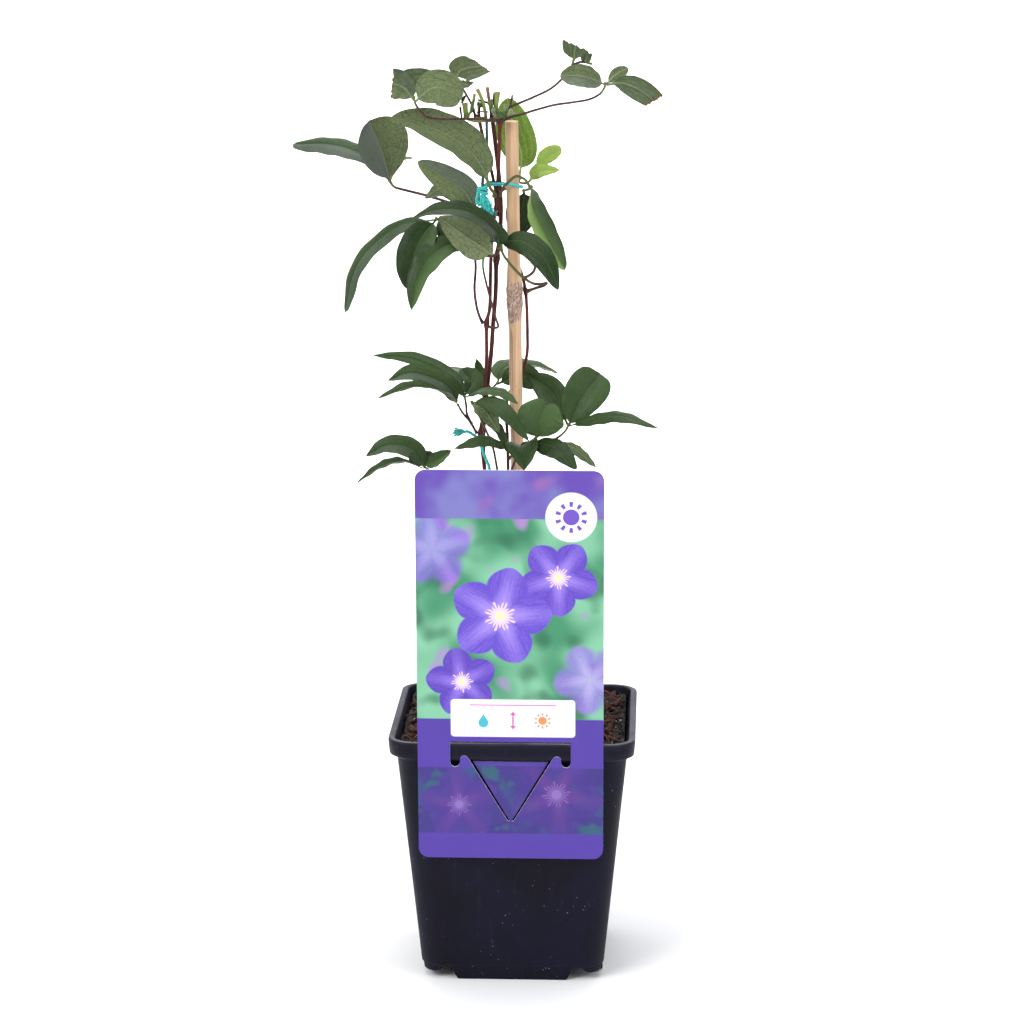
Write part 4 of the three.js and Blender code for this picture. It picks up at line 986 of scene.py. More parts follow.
# Twigs between the stubs at the cut top: radius, shade and path
TWIGS = [
    twig(0.6, 0.3, (-28.2, -2, 454.8), (-28.9, -2, 460.7)),
    twig(0.85, 0.9, (-15.6, -1, 453.2), (-15.9, -1.5, 457.8), (-16.5, -2, 461), (-17.2, -3, 463.5)),
    twig(0.6, 0.9, (-19.6, -3.4, 464.4), (-16.9, -3.4, 463.7), (-14.3, -2, 462.7)),
    twig(0.65, 0.8, (-11.9, -3.2, 461.8), (-10.9, -3.6, 468.2)),
    twig(0.45, 1, (-20.2, 0, 457.4), (-18, -0.6, 458.2), (-14.6, 0, 457.8)),
    twig(0.45, 0.9, (-23.4, -1, 459), (-21, -1.5, 456.8), (-18.8, -2, 455)),
    twig(0.5, 1, (-20.8, -2, 456), (-18, -1.5, 455), (-14.8, -1, 455.4)),
    twig(0.5, 0.8, (-18.6, -1.4, 454.4), (-18.9, -1.2, 459), (-17.9, -1.6, 463.4)),
    twig(0.55, 0.9, (-13.4, -1.5, 453.6), (-13, -2.4, 458.4), (-14.2, -2.6, 463.2)),
    twig(0.6, 0.6, (-12.6, -3.4, 453.8), (-11.4, -4.4, 456.4), (-8.8, -4.8, 458)),
    twig(0.5, 0.7, (-4.2, -4.2, 457.4), (-2.7, -5, 462), (-1.6, -4.6, 467.2)),
]


def blade(width, face, tone, *spine, **form):
    """A leaflet or bract, its spine from root to tip. face is where the side seen from the front looks.

    tone goes from deep green, 0, over fresh green, 1, to bright green, 2. form may hold:
    under, this side is the underside; fold, degrees each half is folded up; belly, where it is widest;
    full, how blunt it is; stalk, its bare share; cut, the share of the spine it reaches; slant, notch and
    torn, the millimetres by which its end slants, is cut in and is frayed; dome and wave, the swell of its
    halves and of its edge; half_tone, how much more tone the + half has, a painted light where the fold
    turns that half to the light; bloom, how grey the painted sheen of a half is: the + half above 0, the
    other below 0, both beyond 1.
    """
    return dict(form, width=width, face=face, tone=tone, spine=spine)


# Bracts and shoots that sprout at the cut top
BRACTS = [
    blade(2.6, (-0.3, -1, 0.2), 1.2, (-12.1, -5, 459.2), (-12.6, -6, 462.3), (-12.3, -5.8, 465.4)),
    blade(3.2, (0, -1, 0.5), 0.7, (-9.8, -7, 457.3), (-7.2, -8, 457.2), (-3.4, -8, 454.6)),
    blade(2.2, (-0.4, -1, 0), 1.1, (-23.3, -3.5, 457.4), (-22.3, -4.4, 461.7), (-21.1, -4.4, 465.8)),
    blade(3.6, (0, -1, 0.4), 1.2, (-4.4, -6, 455.1), (-2.3, -7, 457), (0.4, -7, 457.6), under=True),
    blade(3.2, (0.3, -1, 0), 1.8, (-3.4, -6.2, 455.6), (-2.6, -6.6, 458.2), (-2.3, -6.2, 460.6),
          under=True),
    blade(3, (0, -1, 0.1), 1.4, (-11, -5.4, 457.4), (-11.3, -6.4, 459.2), (-10.7, -6.2, 461), under=True),
    blade(3.2, (0.2, -1, 0.1), 1.0, (-9.2, -5.5, 453.3), (-10, -6.8, 455.8), (-10.8, -6.4, 458.4),
          under=True),
    blade(2.4, (0.4, -1, 0), 1.3, (-6.4, -5.4, 457.6), (-5.2, -6.4, 459.6), (-5.4, -6, 462.6),
          under=True),
    blade(1.8, (0, -1, 0), 0.0, (-28.3, 2, 462.1), (-27.3, 2, 464.8), (-25.8, 1.5, 466.5)),
    blade(2, (0, -1, 0.3), 0.3, (-20.1, -3, 462.5), (-18.2, -3.8, 461.6), (-16.9, -3.2, 460.3)),
]


def make_stems():
    barks = {
        "red_stem": stem_bark("red_stem_bark", "#36100c", "#6a2a1c", "#7d9046"),
        "dark_stem": stem_bark("dark_stem_bark", "#2a0e0b", "#5c2418", "#56602f"),
    }
    for stem in STEMS:
        stubs = stem["stubs"] + (TWIGS if stem["name"] == "stem_red" else [])
        lines = [stem_line(stem)] + [stub_line(stub) for stub in stubs]
        mesh = routes(stem["name"] + "_bark", lines, barks[stem["slot"]], sides=14, rough_scale=700.0)
        show(stem["name"] + "_bark", mesh, stem["slot"], stem["name"])


# Leaves: blades on stalks

# The eye whose sight lines the points of the leaves keep to when they move in depth
EYE = (76, -1860, 627)
LEAF_DEPTH = 1.5
STALK_RADIUS = 0.7
ROOT_HALF = 0.65
BLADE_ROWS = 46
BLADE_COLUMNS = 25
BLADE_THICK = 0.36
BLADE_RELIEF = 0.16

# Compound leaves: the paths of the stalks that carry each, then its leaflets. swing moves what lies far
# from the root to the back, or to the front below 0; green_foot is how green a stalk is at its root.
LEAVES = [
    dict(name="leaf_top_left", swing=-0.3, stalks=[
        [root_on("stem_red", 454, 235), (-20, -9, 455), (-42, -12, 455.5), (-48, -13, 458.5),
         (-51.5, -13, 463), (-52.5, -12, 467)],
    ], leaflets=[
        blade(17, (-0.2, -0.8, 0.5), 0.35, (-52.5, -12, 465), (-58, -9, 471), (-68.5, -6, 474), cut=0.8,
              slant=1.5, torn=6, belly=0.6, full=0.55, under=True, half_tone=-0.3),
        blade(15, (0, -0.9, 0.4), 0.4, (-52.5, -11.5, 466), (-56, -8, 472.5), (-47, -6, 474),
              (-31, -5, 471.5), belly=0.45, full=0.55, under=True),
        blade(19, (0.1, -1, 0.2), 0.75, (-52, -13, 464), (-40.5, -18, 472), (-27, -20, 466.5), fold=6,
              belly=0.55, full=0.5, under=True),
    ]),
    dict(name="leaf_top_tuft", stalks=[
        [root_on("stem_back", 454, 180), (-23, 3, 461), (-31.5, 5, 475.5)],
    ], leaflets=[
        blade(14.5, (0, -1, 0.2), 0.45, (-31.5, 5, 475), (-27.5, 4, 479.5), (-13.5, 1, 482), cut=0.88,
              slant=4, torn=6, belly=0.4, full=0.5, under=True),
        blade(5, (0, -0.7, 0.6), 0.4, (-31.5, 5, 474.5), (-27, 4, 471.5), (-22, 3, 473), under=True),
    ]),
    dict(name="leaf_top_right_upper", swing=0.45, stalks=[
        [(-2.7, -5.6, 461.2), (3, -7, 463.5), (10, -7, 466.5), (18, -8, 470.5), (24, -8, 475.5),
         (28.6, -8, 481), (30.5, -8, 486.5)],
        [(29.4, -8, 482.8), (34, -8, 484.5), (39.5, -8, 483.6)],
    ], leaflets=[
        blade(14.5, (0, -1, 0.1), 0.3, (30.5, -8, 485.5), (31, -9, 491), (32.5, -10, 502), cut=0.62,
              slant=-2.15, torn=5, belly=0.62, full=1.2, stalk=0, under=True),
        blade(6, (-0.2, -1, 0), 0.3, (36, -8, 484), (37, -9, 488), (38, -9, 492.4), cut=0.68, torn=3.0,
              belly=0.5, full=0.3, stalk=0, under=True),
    ]),
    dict(name="leaf_top_right_lower", swing=-0.25, stalks=[
        [root_on("stem_red", 454, 295), (-2, -8, 456), (3, -8.6, 457.4), (10, -9.4, 459.6),
         (20, -10, 462.4), (30, -11, 464), (38, -11, 465.4), (43.5, -11, 468), (46, -11, 471),
         (47, -11, 474.5)],
    ], leaflets=[
        blade(13.5, (0.1, -0.8, 0.5), 0.55, (47, -11, 473), (36, -16, 477.5), (23.5, -19, 478), fold=12,
              belly=0.5, full=0.55, under=True, bloom=-0.5),
        blade(7, (0.2, -0.9, 0.2), 0.8, (47.5, -11, 473.5), (52.5, -7, 478), (58.5, -3, 481), belly=0.5,
              under=True),
        blade(12, (-0.1, -1, 0.15), 0.25, (47.5, -11, 473), (55.5, -13, 474), (65, -15, 470.5),
              (76.5, -17, 462), cut=0.88, slant=-2, torn=6, belly=0.62, stalk=0.16, under=True),
    ]),
    dict(name="leaf_young", swing=0.5, stalks=[
        [root_on("stem_back", 415, 20), (-6, 10.6, 416.4), (-2, 12, 419), (1.5, 13, 421), (1.5, 14, 424)],
        [(-1, 12.4, 420.4), (4, 12, 419.4), (7, 12, 421), (10.5, 12, 429.5)],
    ], leaflets=[
        blade(20.5, (-0.1, -1, 0.1), 0.35, (1.5, 14, 423.5), (2.5, 14, 434), (-1.5, 15, 448),
              (-5, 14, 464), belly=0.5, full=0.55, stalk=0.14),
        blade(9, (0.2, -1, -0.1), 0.8, (9.8, 12, 427), (15, 13, 433.5), (23.5, 14, 437.4), belly=0.55),
        blade(8, (0, -0.9, 0.4), 0.75, (6.8, 11.6, 420.4), (12, 10, 426), (23, 9, 426.8), belly=0.4),
    ]),
    dict(name="leaf_upper_left", swing=-0.15, stalk_radius=0.95, green_foot=0.6, stalks=[
        [root_on("stem_red", 414.5, 235), (-10.5, -6.5, 415.5), (-13, -7.5, 419), (-15, -8, 424.5)],
    ], leaflets=[
        blade(24, (0.4, -0.74, 0.5), 0.75, (-14.5, -8, 423.5), (-19.5, -9, 433.5), (-28.5, -10, 442.5),
              (-39.5, -10.5, 448.5), (-51.5, -10.5, 453.5), (-65, -10, 455), fold=25, full=0.5,
              stalk=0.04, wave=0.4, under=True),
    ]),
    dict(name="leaf_left_arm", swing=0.32, stalk_radius=0.85, stalks=[
        [root_on("stem_dark", 404, 180), (-14, 4.4, 404), (-20, 5, 405.5), (-31, 5, 408.5),
         (-47, 4, 413.5), (-60, 2, 417), (-64, 1, 418.5), (-66.5, 0, 422)],
    ], leaflets=[
        blade(15, (0, -0.57, 0.82), 0.3, (-66, 0.4, 421.5), (-81, 3, 435), (-98.5, 6, 440),
              (-118, 8, 439.5), fold=-10, belly=0.5, full=0.5, stalk=0.2, bloom=-0.6),
        blade(33, (0.49, -0.85, 0.19), 0.7, (-66, 0.4, 421.5), (-70, -4, 438.5), (-76, -8, 454), fold=22,
              belly=0.6, full=0.7, stalk=0.06, under=True, half_tone=0.1, bloom=-1),
        blade(6, (0, -0.4, 1), 0.8, (-66, 0.4, 421.5), (-62, 8, 431.5), (-54.5, 12, 432.5), under=True),
    ]),
    dict(name="leaf_left_middle", stalks=[
        [root_on("stem_red", 399, 230), (-17, -4.8, 401.5), (-21, -4, 406.5)],
    ], leaflets=[
        blade(16, (-0.1, -0.95, 0.3), 0.8, (-21, -4, 405.5), (-25.5, -4, 415.5), (-36, -4.4, 423),
              (-51, -5, 432.5), fold=14, belly=0.45, full=0.5, under=True, half_tone=-0.25, bloom=0.6),
        blade(9, (0, -0.8, 0.6), 0.4, (-21, -3.6, 405.5), (-37, 0, 417), (-48, 1, 412.4), fold=6,
              under=True),
    ]),
    dict(name="leaf_left_front", swing=-0.2, stalks=[
        [root_on("stem_red", 346, 290), (-12.3, -8, 345.6), (-9, -7.6, 346), (-10.6, -8, 352),
         (-14.6, -9, 367), (-16.8, -10, 378), (-16, -12, 384.5)],
        [(-16, -12, 384), (-11, -13, 384), (-8, -14, 387), (-8.5, -14, 388.5)],
    ], leaflets=[
        blade(17, (0, -0.55, 0.85), 0.1, (-8.5, -14, 387), (-9.5, -16, 396.5), (-23, -21, 407.5),
              (-39.5, -24, 409.5), (-54.5, -25, 404), fold=4, belly=0.34, full=0.6, stalk=0.1, dome=0.04,
              bloom=-0.2),
        blade(19, (-0.1, -0.85, 0.4), 1.3, (-10.5, -12.5, 384), (-21.5, -15, 392), (-39.5, -18, 405),
              fold=8, belly=0.45, wave=0.5, under=True),
    ]),
    dict(name="leaf_left_arching", stalk_radius=0.8, green_foot=0.35, stalks=[
        [root_on("stem_red", 347.5, 205), (-18.8, -6.4, 351), (-20.4, -7, 357), (-21.4, -7, 366),
         (-20.8, -7, 379), (-23, -7.5, 387.5), (-31, -7, 399), (-42, -8, 403)],
    ], leaflets=[
        blade(13, (-0.45, -0.6, 0.65), 0.35, (-41, -8, 402.5), (-62.5, -6, 397.5), (-83, -2, 378),
              (-90.5, 2, 351.5), fold=-8, belly=0.5, full=0.5, bloom=-0.35),
        blade(19, (-0.3, -0.9, 0.3), 0.25, (-41, -8, 402.5), (-48, -12, 394.5), (-53.5, -15, 382),
              (-55.5, -17, 366.5), fold=12, belly=0.45, full=0.5, half_tone=-0.4),
        blade(16, (-0.3, -0.85, 0.5), 0.5, (-24.5, -7.5, 387), (-34, -14, 390), (-44, -19, 383.5),
              (-50.5, -22, 372.5), (-53.5, -24, 356.5), fold=8, belly=0.4, full=0.55, wave=0.5,
              half_tone=-0.4),
        blade(14, (-0.3, -0.85, 0.4), 0.05, (-24.5, -7.5, 387), (-33, -9, 395.5), (-40, -10, 402),
              belly=0.5, full=0.55, under=True),
    ]),
    dict(name="leaf_right_front", stalk_radius=0.85, green_foot=0.4, stalks=[
        [root_on("stem_back", 363.4, 315), (9, -1, 365), (12, -4, 366.4), (15, -5.4, 367.6),
         (16.4, -6.6, 369), (14, -8, 368.8), (9, -7, 369), (3, -7, 373), (-3, -7.5, 379.5),
         (-6.6, -8, 385), (-7.6, -8, 391)],
        [(4.6, -7, 371.6), (9, -8, 374.5), (10.4, -9, 378), (8.4, -9, 380.5)],
    ], leaflets=[
        blade(14, (0.1, -0.85, 0.45), 0.05, (-7.4, -8, 390.5), (4.5, -12, 391.5), (15.5, -17, 383),
              (23, -22, 367.5), fold=-10, belly=0.45, full=0.6, stalk=0.02),
    ]),
    dict(name="leaf_right_hanging", swing=0.25, stalk_radius=0.85, green_foot=0.5, stalks=[
        [root_on("stem_red", 414.6, 320), (-7.4, -6.6, 416.6), (-5.6, -8.4, 420), (-2, -8, 423.6),
         (1, -6.4, 425), (5, -4, 423), (8, -1, 418)],
        [(8, -1, 418.8), (6.4, 5, 417), (3.6, 10.5, 415.6)],
    ], leaflets=[
        blade(14.5, (0.55, -0.8, 0.2), 1.2, (8, -1, 418.5), (8.5, 8, 407.5), (15.5, 13, 391.5),
              (25.5, 16, 373), fold=12, belly=0.55, full=0.65, stalk=0.03, half_tone=0.9),
        blade(17, (0.1, -1, 0.2), 0.1, (4, 10, 416), (2.5, 16, 404.6), (-1, 18, 390), fold=8, belly=0.45,
              full=0.55),
    ]),
    dict(name="leaf_lower_left", stalks=[
        [root_on("stem_red", 288.6, 215), (-24, -6.5, 295), (-28, -7, 300), (-30.5, -7, 304.5)],
        [(-23, -6.2, 293.6), (-25.6, -6, 299), (-26, -6, 304), (-27, -6, 309)],
    ], leaflets=[
        blade(9, (-0.2, -0.75, 0.65), 0.35, (-26.6, -6, 307.5), (-34, -2, 317.5), (-54, 4, 326.5),
              (-76.5, 10, 327.5), fold=10, belly=0.45, stalk=0.03),
        blade(12, (0.25, -0.85, 0.45), 0.45, (-30.5, -7, 305.5), (-37, -12, 316), (-53.5, -16, 322.5),
              (-66.5, -18, 318.5), fold=12, belly=0.38, full=0.55, stalk=0.03, bloom=-0.5),
        blade(10, (0, -0.35, 0.95), 0.35, (-30.5, -7, 304.5), (-39.5, -16, 313), (-54, -24, 316.5),
              (-71, -30, 311), fold=16, belly=0.45, stalk=0.04),
        blade(10, (0.1, -0.4, 0.9), 0.6, (-27, -6.6, 308), (-17, -12, 313), (-7, -16, 312.8),
              (2, -19, 306.8), fold=-14, belly=0.45, stalk=0.03),
        blade(14, (0.2, -1, 0.1), 0.4, (-27, -5.5, 308.5), (-23.5, 2, 314.5), (-29.5, 8, 321),
              belly=0.45),
    ]),
    dict(name="leaf_lower_back_left", stalks=[
        [root_on("stem_dark", 306, 115), (-18.6, 5, 309.6), (-18, 10, 315.6), (-19.5, 14, 318.5)],
    ], leaflets=[
        blade(12, (0, -0.1, 1), 0.75, (-19.4, 14, 317.6), (-29, 20, 318), (-38, 26, 319), fold=-10,
              belly=0.5),
        blade(6, (0.5, -1, 0.1), 0.45, (-18.4, 9, 314.4), (-20, 10, 319.4), (-21.4, 10, 326)),
    ]),
    dict(name="leaf_lower_back", stalks=[
        [root_on("stem_dark", 312.6, 70), (-12.6, 5, 311.4), (-10, 9, 313.4)],
    ], leaflets=[
        blade(15, (-0.1, -0.35, 1), 0.65, (-10.4, 8.6, 312.5), (-6.5, 15, 320.5), (8, 23, 320.5),
              (21.5, 28, 315.5), fold=8, belly=0.45, full=0.5),
        blade(14, (0.1, -0.9, 0.4), 0.25, (-10.4, 8.6, 312.6), (2, 13, 316.6), (13, 17, 311), fold=8,
              belly=0.5),
    ]),
    dict(name="leaf_lower_right", stalks=[
        [root_on("stem_back", 275, 290), (-1, -6.4, 277.4), (5, -6.4, 280), (14, -6, 283),
         (21, -6, 285.8), (26, -5, 289.5), (28.6, -4, 294)],
        [(19, -6, 285), (23.6, -8.4, 285.4)],
    ], leaflets=[
        blade(23, (-0.1, -1, 0.15), 0.45, (28.4, -4, 293), (35, -2, 307), (44.5, 2, 320), fold=12,
              belly=0.66, full=0.6, stalk=0.05),
        blade(12, (0, -0.5, 0.85), 0.3, (28.2, -4.4, 292.6), (42, -10, 298), (57, -16, 300),
              (76.5, -22, 294.5), fold=-12, belly=0.38, stalk=0.08),
        blade(16, (-0.1, -1, 0.1), 0.3, (28, -3.6, 292.4), (18.5, 2, 310), (4.5, 6, 319.5), fold=12,
              belly=0.38),
        blade(7, (0.2, -0.7, 0.7), 0.45, (22, -7.8, 285.2), (32, -12, 281), (43, -14, 272.4), belly=0.45,
              under=True),
    ]),
    dict(name="leaf_centre_round", stalks=[
        [root_on("stem_back", 262, 275), (-2.6, -8, 267), (-1, -10, 272), (3.5, -12, 283.5),
         (8, -12, 285.5), (12, -12.5, 288.5)],
    ], leaflets=[
        blade(26, (0.1, -1, 0.1), 0.95, (12, -12.5, 288), (13.5, -13.5, 298), (17, -15, 307), fold=14,
              cut=0.9, notch=3.5, belly=0.55, full=0.5, stalk=0.02),
        blade(13, (0.3, -0.8, 0.5), 0.15, (8, -12.5, 285.5), (16.5, -18, 285), (24.5, -22, 282),
              (33, -26, 273.5), fold=-8, full=0.5),
        blade(19, (0, -0.75, 0.65), 0.3, (3.5, -12, 283.5), (4, -17, 283), (5, -22, 278.5),
              (5.5, -26, 272.5), fold=24, belly=0.3, full=0.4),
    ]),
    dict(name="leaf_centre_long", stalks=[
        [root_on("stem_back", 238, 250), (-5, -8, 246), (-7, -9.4, 256), (-9.4, -10, 270),
         (-12, -10.6, 283), (-18, -11, 297), (-23, -12, 307)],
        [(-12, -10.6, 283), (-7, -10.6, 281.4), (-4.4, -12, 283.6)],
    ], leaflets=[
        blade(11, (0.3, -0.75, 0.55), 0.35, (-22.6, -12, 306), (-15, -17.5, 308), (-5, -23, 304),
              (8, -27, 288.5), fold=-8, belly=0.45, stalk=0.12),
        blade(11, (0.4, -0.8, 0.2), 0.75, (-22.8, -12, 305.4), (-16, -15, 303), (-8, -18, 291.5),
              belly=0.45, under=True),
        blade(6, (0.6, -0.8, 0.1), 0.25, (-18.6, -11.2, 298), (-9, -13.6, 292.6), (-3.4, -14.6, 279)),
        blade(9.5, (-0.1, -0.6, 0.8), 0.35, (-4.8, -12, 283.4), (-16.5, -17, 287), (-31.5, -21, 283),
              fold=-10, stalk=0.03),
    ]),
    dict(name="leaf_low_left", stalks=[
        [root_on("stem_red", 244, 215), (-20, -8, 249), (-26, -12, 256.4), (-36, -18, 266),
         (-46, -24, 273), (-48.5, -25, 275.5)],
    ], leaflets=[
        blade(12, (-0.1, -0.75, 0.6), 0.3, (-47.4, -24.8, 274.2), (-53.5, -27, 283.5), (-66, -28, 286),
              (-77.5, -28, 280), fold=10, belly=0.4, full=0.5, stalk=0.02, bloom=-0.25),
        blade(10, (0, -0.2, 1), 0.2, (-47, -25, 273), (-58, -30, 277.6), (-69.6, -32, 275),
              (-82, -33, 266.5), fold=12, belly=0.45),
        blade(8, (-0.2, -0.9, 0.5), 0.5, (-47.4, -24.8, 274.2), (-41, -27, 278), (-32.5, -29, 283.5),
              belly=0.45, half_tone=0.4),
        blade(7, (0.2, -1, 0.2), 0.15, (-47.4, -24.8, 274.2), (-45, -22, 278), (-47, -20, 281.5),
              belly=0.45),
    ]),
]


def to_depth(point, new_y):
    """Moves a point to a new depth along its line of sight from the eye."""
    x, y, z = point
    share = (new_y - y) / (y - EYE[1])
    return (x + (x - EYE[0]) * share, new_y, z + (z - EYE[2]) * share)


def placer(leaf):
    """The rule that spreads a leaf's points to the front and the back of its stem."""
    root_x, root_y = leaf["stalks"][0][0][:2]
    swing = leaf.get("swing", 0)

    def place(point):
        y = root_y + (point[1] - root_y) * LEAF_DEPTH + abs(point[0] - root_x) * swing
        return to_depth(point, y)
    return place


def half_width(share, leaflet):
    """Half the width of a blade at shares of its length: ovate, widest at the belly."""
    belly, full = leaflet.get("belly", 0.42), leaflet.get("full", 0.65)
    stalk = leaflet.get("stalk", 0.1)
    s = np.clip((share - stalk) / (1 - stalk), 1e-6, 1 - 1e-6)
    tail = full * (1 - belly) / belly
    swell = (s / belly) ** full * ((1 - s) / (1 - belly)) ** tail
    least = np.where(s < belly, ROOT_HALF, 0.16)
    return np.maximum(least, leaflet["width"] / 2 * swell)


def rib_mesh(leaflet, place):
    """The rib of a leaflet as a row of points, each with the directions and half width of its blade."""
    spine = [place(p) for p in leaflet["spine"]]
    cut = leaflet.get("cut", 1)
    share = np.linspace(0, 1, BLADE_ROWS)
    t = cut * share
    points = through(spine, t)
    along = directions(spine, t)
    side = unit(np.cross(along, np.array(leaflet["face"], dtype=float)))
    up = unit(np.cross(side, along))
    steps = np.linalg.norm(np.diff(points, axis=0), axis=1)
    mesh = mesh_of("rib", points, edges=[(i, i + 1) for i in range(len(points) - 1)])
    for name, ways in (("side", side), ("up", up), ("forward", along)):
        give(mesh, name, ways, "FLOAT_VECTOR")
    give(mesh, "half", half_width(t, leaflet))
    give(mesh, "share", t)
    give(mesh, "length", np.concatenate([[0], np.cumsum(steps)]))
    return mesh


def make_blade_tree():
    """Spreads a blade over its rib: two skins with a rounded fold, domed halves, waved and torn edges."""
    tree, entry = new_tree("leaf_blade", {
        "Rows": ("Int", BLADE_ROWS), "Columns": ("Int", BLADE_COLUMNS), "Fold": ("Float", 0.17),
        "Dome": ("Float", 0.1), "Wave": ("Float", 0.0), "Ruffle": ("Float", 0.2), "Phase": ("Float", 0.0),
        "Relief": ("Float", 0.15), "Thickness": ("Float", BLADE_THICK), "Torn": ("Float", 0.0),
        "Slant": ("Float", 0.0), "Notch": ("Float", 0.0), "Tone": ("Float", 0.3),
        "Half Tone": ("Float", 0.0), "Bloom": ("Float", 0.0), "Front": ("Material", None),
        "Back": ("Material", None)})
    grid = add(tree, "GeometryNodeMeshGrid", {
        "Size X": 2.0, "Size Y": 1.0, "Vertices X": entry["Columns"], "Vertices Y": entry["Rows"]})
    x, y, _ = add(tree, "GeometryNodeInputPosition").split()
    # Painted sheen: the grey-blue wash on one half of the blade, or on both
    wash = (x * entry["Bloom"].math("SIGN")).ramp(-0.08, 0.1)
    both = (abs(entry["Bloom"]) - 1.0).math("MAXIMUM", 0.0)
    # The tone of one half is raised or lowered: painted light where the fold turns that half to the light
    fields = {"row": y + 0.5, "column": x, "across": x.math("SIGN") * abs(x) ** 1.3,
              "tone": entry["Tone"] + entry["Half Tone"] * x,
              "bloom": (wash * (abs(entry["Bloom"]) - both)).math("MAXIMUM", both)}
    for name, value in fields.items():
        grid = store(tree, grid, name, value)
    row, column, across = stored(tree, "row"), stored(tree, "column"), stored(tree, "across")
    index = (row * (entry["Rows"] - 1.0)).math("ROUND")

    def rib(name, kind="FLOAT"):
        value = add(tree, "GeometryNodeInputPosition") if name == "position" else stored(tree, name, kind)
        inputs = {"Geometry": entry["Geometry"], "Value": value, "Index": index}
        return add(tree, "GeometryNodeSampleIndex", inputs, data_type=kind)

    for name in ("half", "share"):
        grid = store(tree, grid, name, rib(name))
    half, share = stored(tree, "half"), stored(tree, "share")
    hinge = (across ** 2.0 + 0.012).math("SQRT") - 0.1095
    lift = half * entry["Fold"].math("SINE") * hinge
    lift += half * entry["Dome"] * 4.0 * (hinge - hinge * hinge)
    lift -= across * entry["Wave"] * (share * 19.0 + entry["Phase"]).math("SINE")
    margin = abs(across) ** 3.0 * share.ramp(0.0, 0.15) * share.ramp(1.0, 0.9)
    ruffle = (share * 31.0 + across.math("SIGN") * 2.0 + entry["Phase"] * 2.0).math("SINE")
    lift += margin * ruffle * entry["Ruffle"]
    groove = (across * half).bell(0.0, 0.55)
    for nerve in NERVES:
        groove = ((abs(across) - nerve) * half).bell(0.0, 0.6) * 0.05 + groove
    lift -= groove * entry["Relief"] * share.ramp(1.0, 0.85)
    reach = half * entry["Fold"].math("COSINE") * across
    spot = vector(tree, across * 3.0 + entry["Phase"], entry["Phase"] * 7.0)
    ragged = clouds(spot, 1.6, 4, 0.75) - 0.5
    ahead = entry["Torn"] * ragged * row.ramp(0.7, 1.0)
    ahead += entry["Slant"] * across * row.ramp(0.6, 1.0)
    ahead += entry["Notch"] * 4.0 * abs(across) * (1.0 - abs(across)) * row ** 5.0
    place = rib("position", "FLOAT_VECTOR")
    for way, size in (("side", reach), ("up", lift), ("forward", ahead)):
        place = place.plus(rib(way, "FLOAT_VECTOR").times(size * MM))
    grid = store(tree, grid, "blade_mm", vector(tree, across * half, rib("length")), "FLOAT2", "CORNER")
    torn = entry["Torn"].math("GREATER_THAN", 0.01) * (row + ragged * 0.08).ramp(0.95, 0.99)
    grid = store(tree, grid, "torn", torn)
    edge = abs(column).math("GREATER_THAN", 0.999)
    ends = (row.math("LESS_THAN", 0.001) + row.math("GREATER_THAN", 0.999) + edge).math("MINIMUM", 1.0)
    grid = store(tree, grid, "border", ends)
    grid = add(tree, "GeometryNodeSetPosition", {"Geometry": grid, "Position": place})
    body = (1.0 - abs(column) ** 8.0).math("SQRT") * (1.0 - ends)
    outward = add(tree, "GeometryNodeInputNormal")
    skins = []
    for way, label in ((0.5, "Front"), (-0.5, "Back")):
        offset = outward.times(body * entry["Thickness"] * (way * MM))
        skin = add(tree, "GeometryNodeSetPosition", {"Geometry": grid, "Offset": offset})
        if way < 0:
            skin = add(tree, "GeometryNodeFlipFaces", {"Mesh": skin})
        skins.append(add(tree, "GeometryNodeSetMaterial", {"Geometry": skin, "Material": entry[label]}))
    both = add(tree, "GeometryNodeJoinGeometry", {"Geometry": skins[1]})
    tree.links.new(skins[0].socket, both.socket.node.inputs[0])
    both = add(tree, "GeometryNodeMergeByDistance", {"Geometry": both, "Distance": 0.002 * MM})
    both = add(tree, "GeometryNodeSetShadeSmooth", {"Geometry": both, "Shade Smooth": True})
    sharp = stored(tree, "border").math("GREATER_THAN", 0.99)
    both = add(tree, "GeometryNodeSetShadeSmooth", {
        "Geometry": both, "Selection": sharp, "Shade Smooth": False}, domain="EDGE")
    return finish_tree(tree, both)


def stalk_line(points, place, leaf):
    """A leaf stalk: a clasping foot, a slender middle and a small knuckle where leaflets join."""
    points = fine_line([place(p) for p in points], 9)
    share = np.linspace(0, 1, len(points))
    foot = 0.35 * np.exp(-(share / 0.05) ** 2)
    knuckle = 0.3 * np.exp(-((1 - share) / 0.06) ** 2)
    girth = leaf.get("stalk_radius", STALK_RADIUS) * (1.02 - 0.2 * share) + foot + knuckle
    green = leaf.get("green_foot", 0.05)
    fresh = green + (0.8 - green) * smooth_step(share, 0.5, 1.0)
    return dict(points=points, girth=girth, rough=0.1, fresh=fresh)


BLADE_TREE = make_blade_tree()


def grow_blade(leaflet, place, top, under):
    """One leaflet, its upper skin or its underside turned to the face it is drawn for."""
    rising, skins = (-1, (under, top)) if leaflet.get("under") else (1, (top, under))
    plain = {name.title().replace("_", " "): leaflet.get(name, 0.0)
             for name in ("wave", "torn", "slant", "notch", "tone", "half_tone", "bloom")}
    return grow("blade", rib_mesh(leaflet, place), BLADE_TREE, {
        **plain, "Fold": math.radians(leaflet.get("fold", 10)), "Dome": leaflet.get("dome", 0.09) * rising,
        "Ruffle": leaflet.get("ruffle", 0.28), "Phase": float(leaflet["spine"][0][0]),
        "Relief": BLADE_RELIEF * rising, "Front": skins[0], "Back": skins[1]})


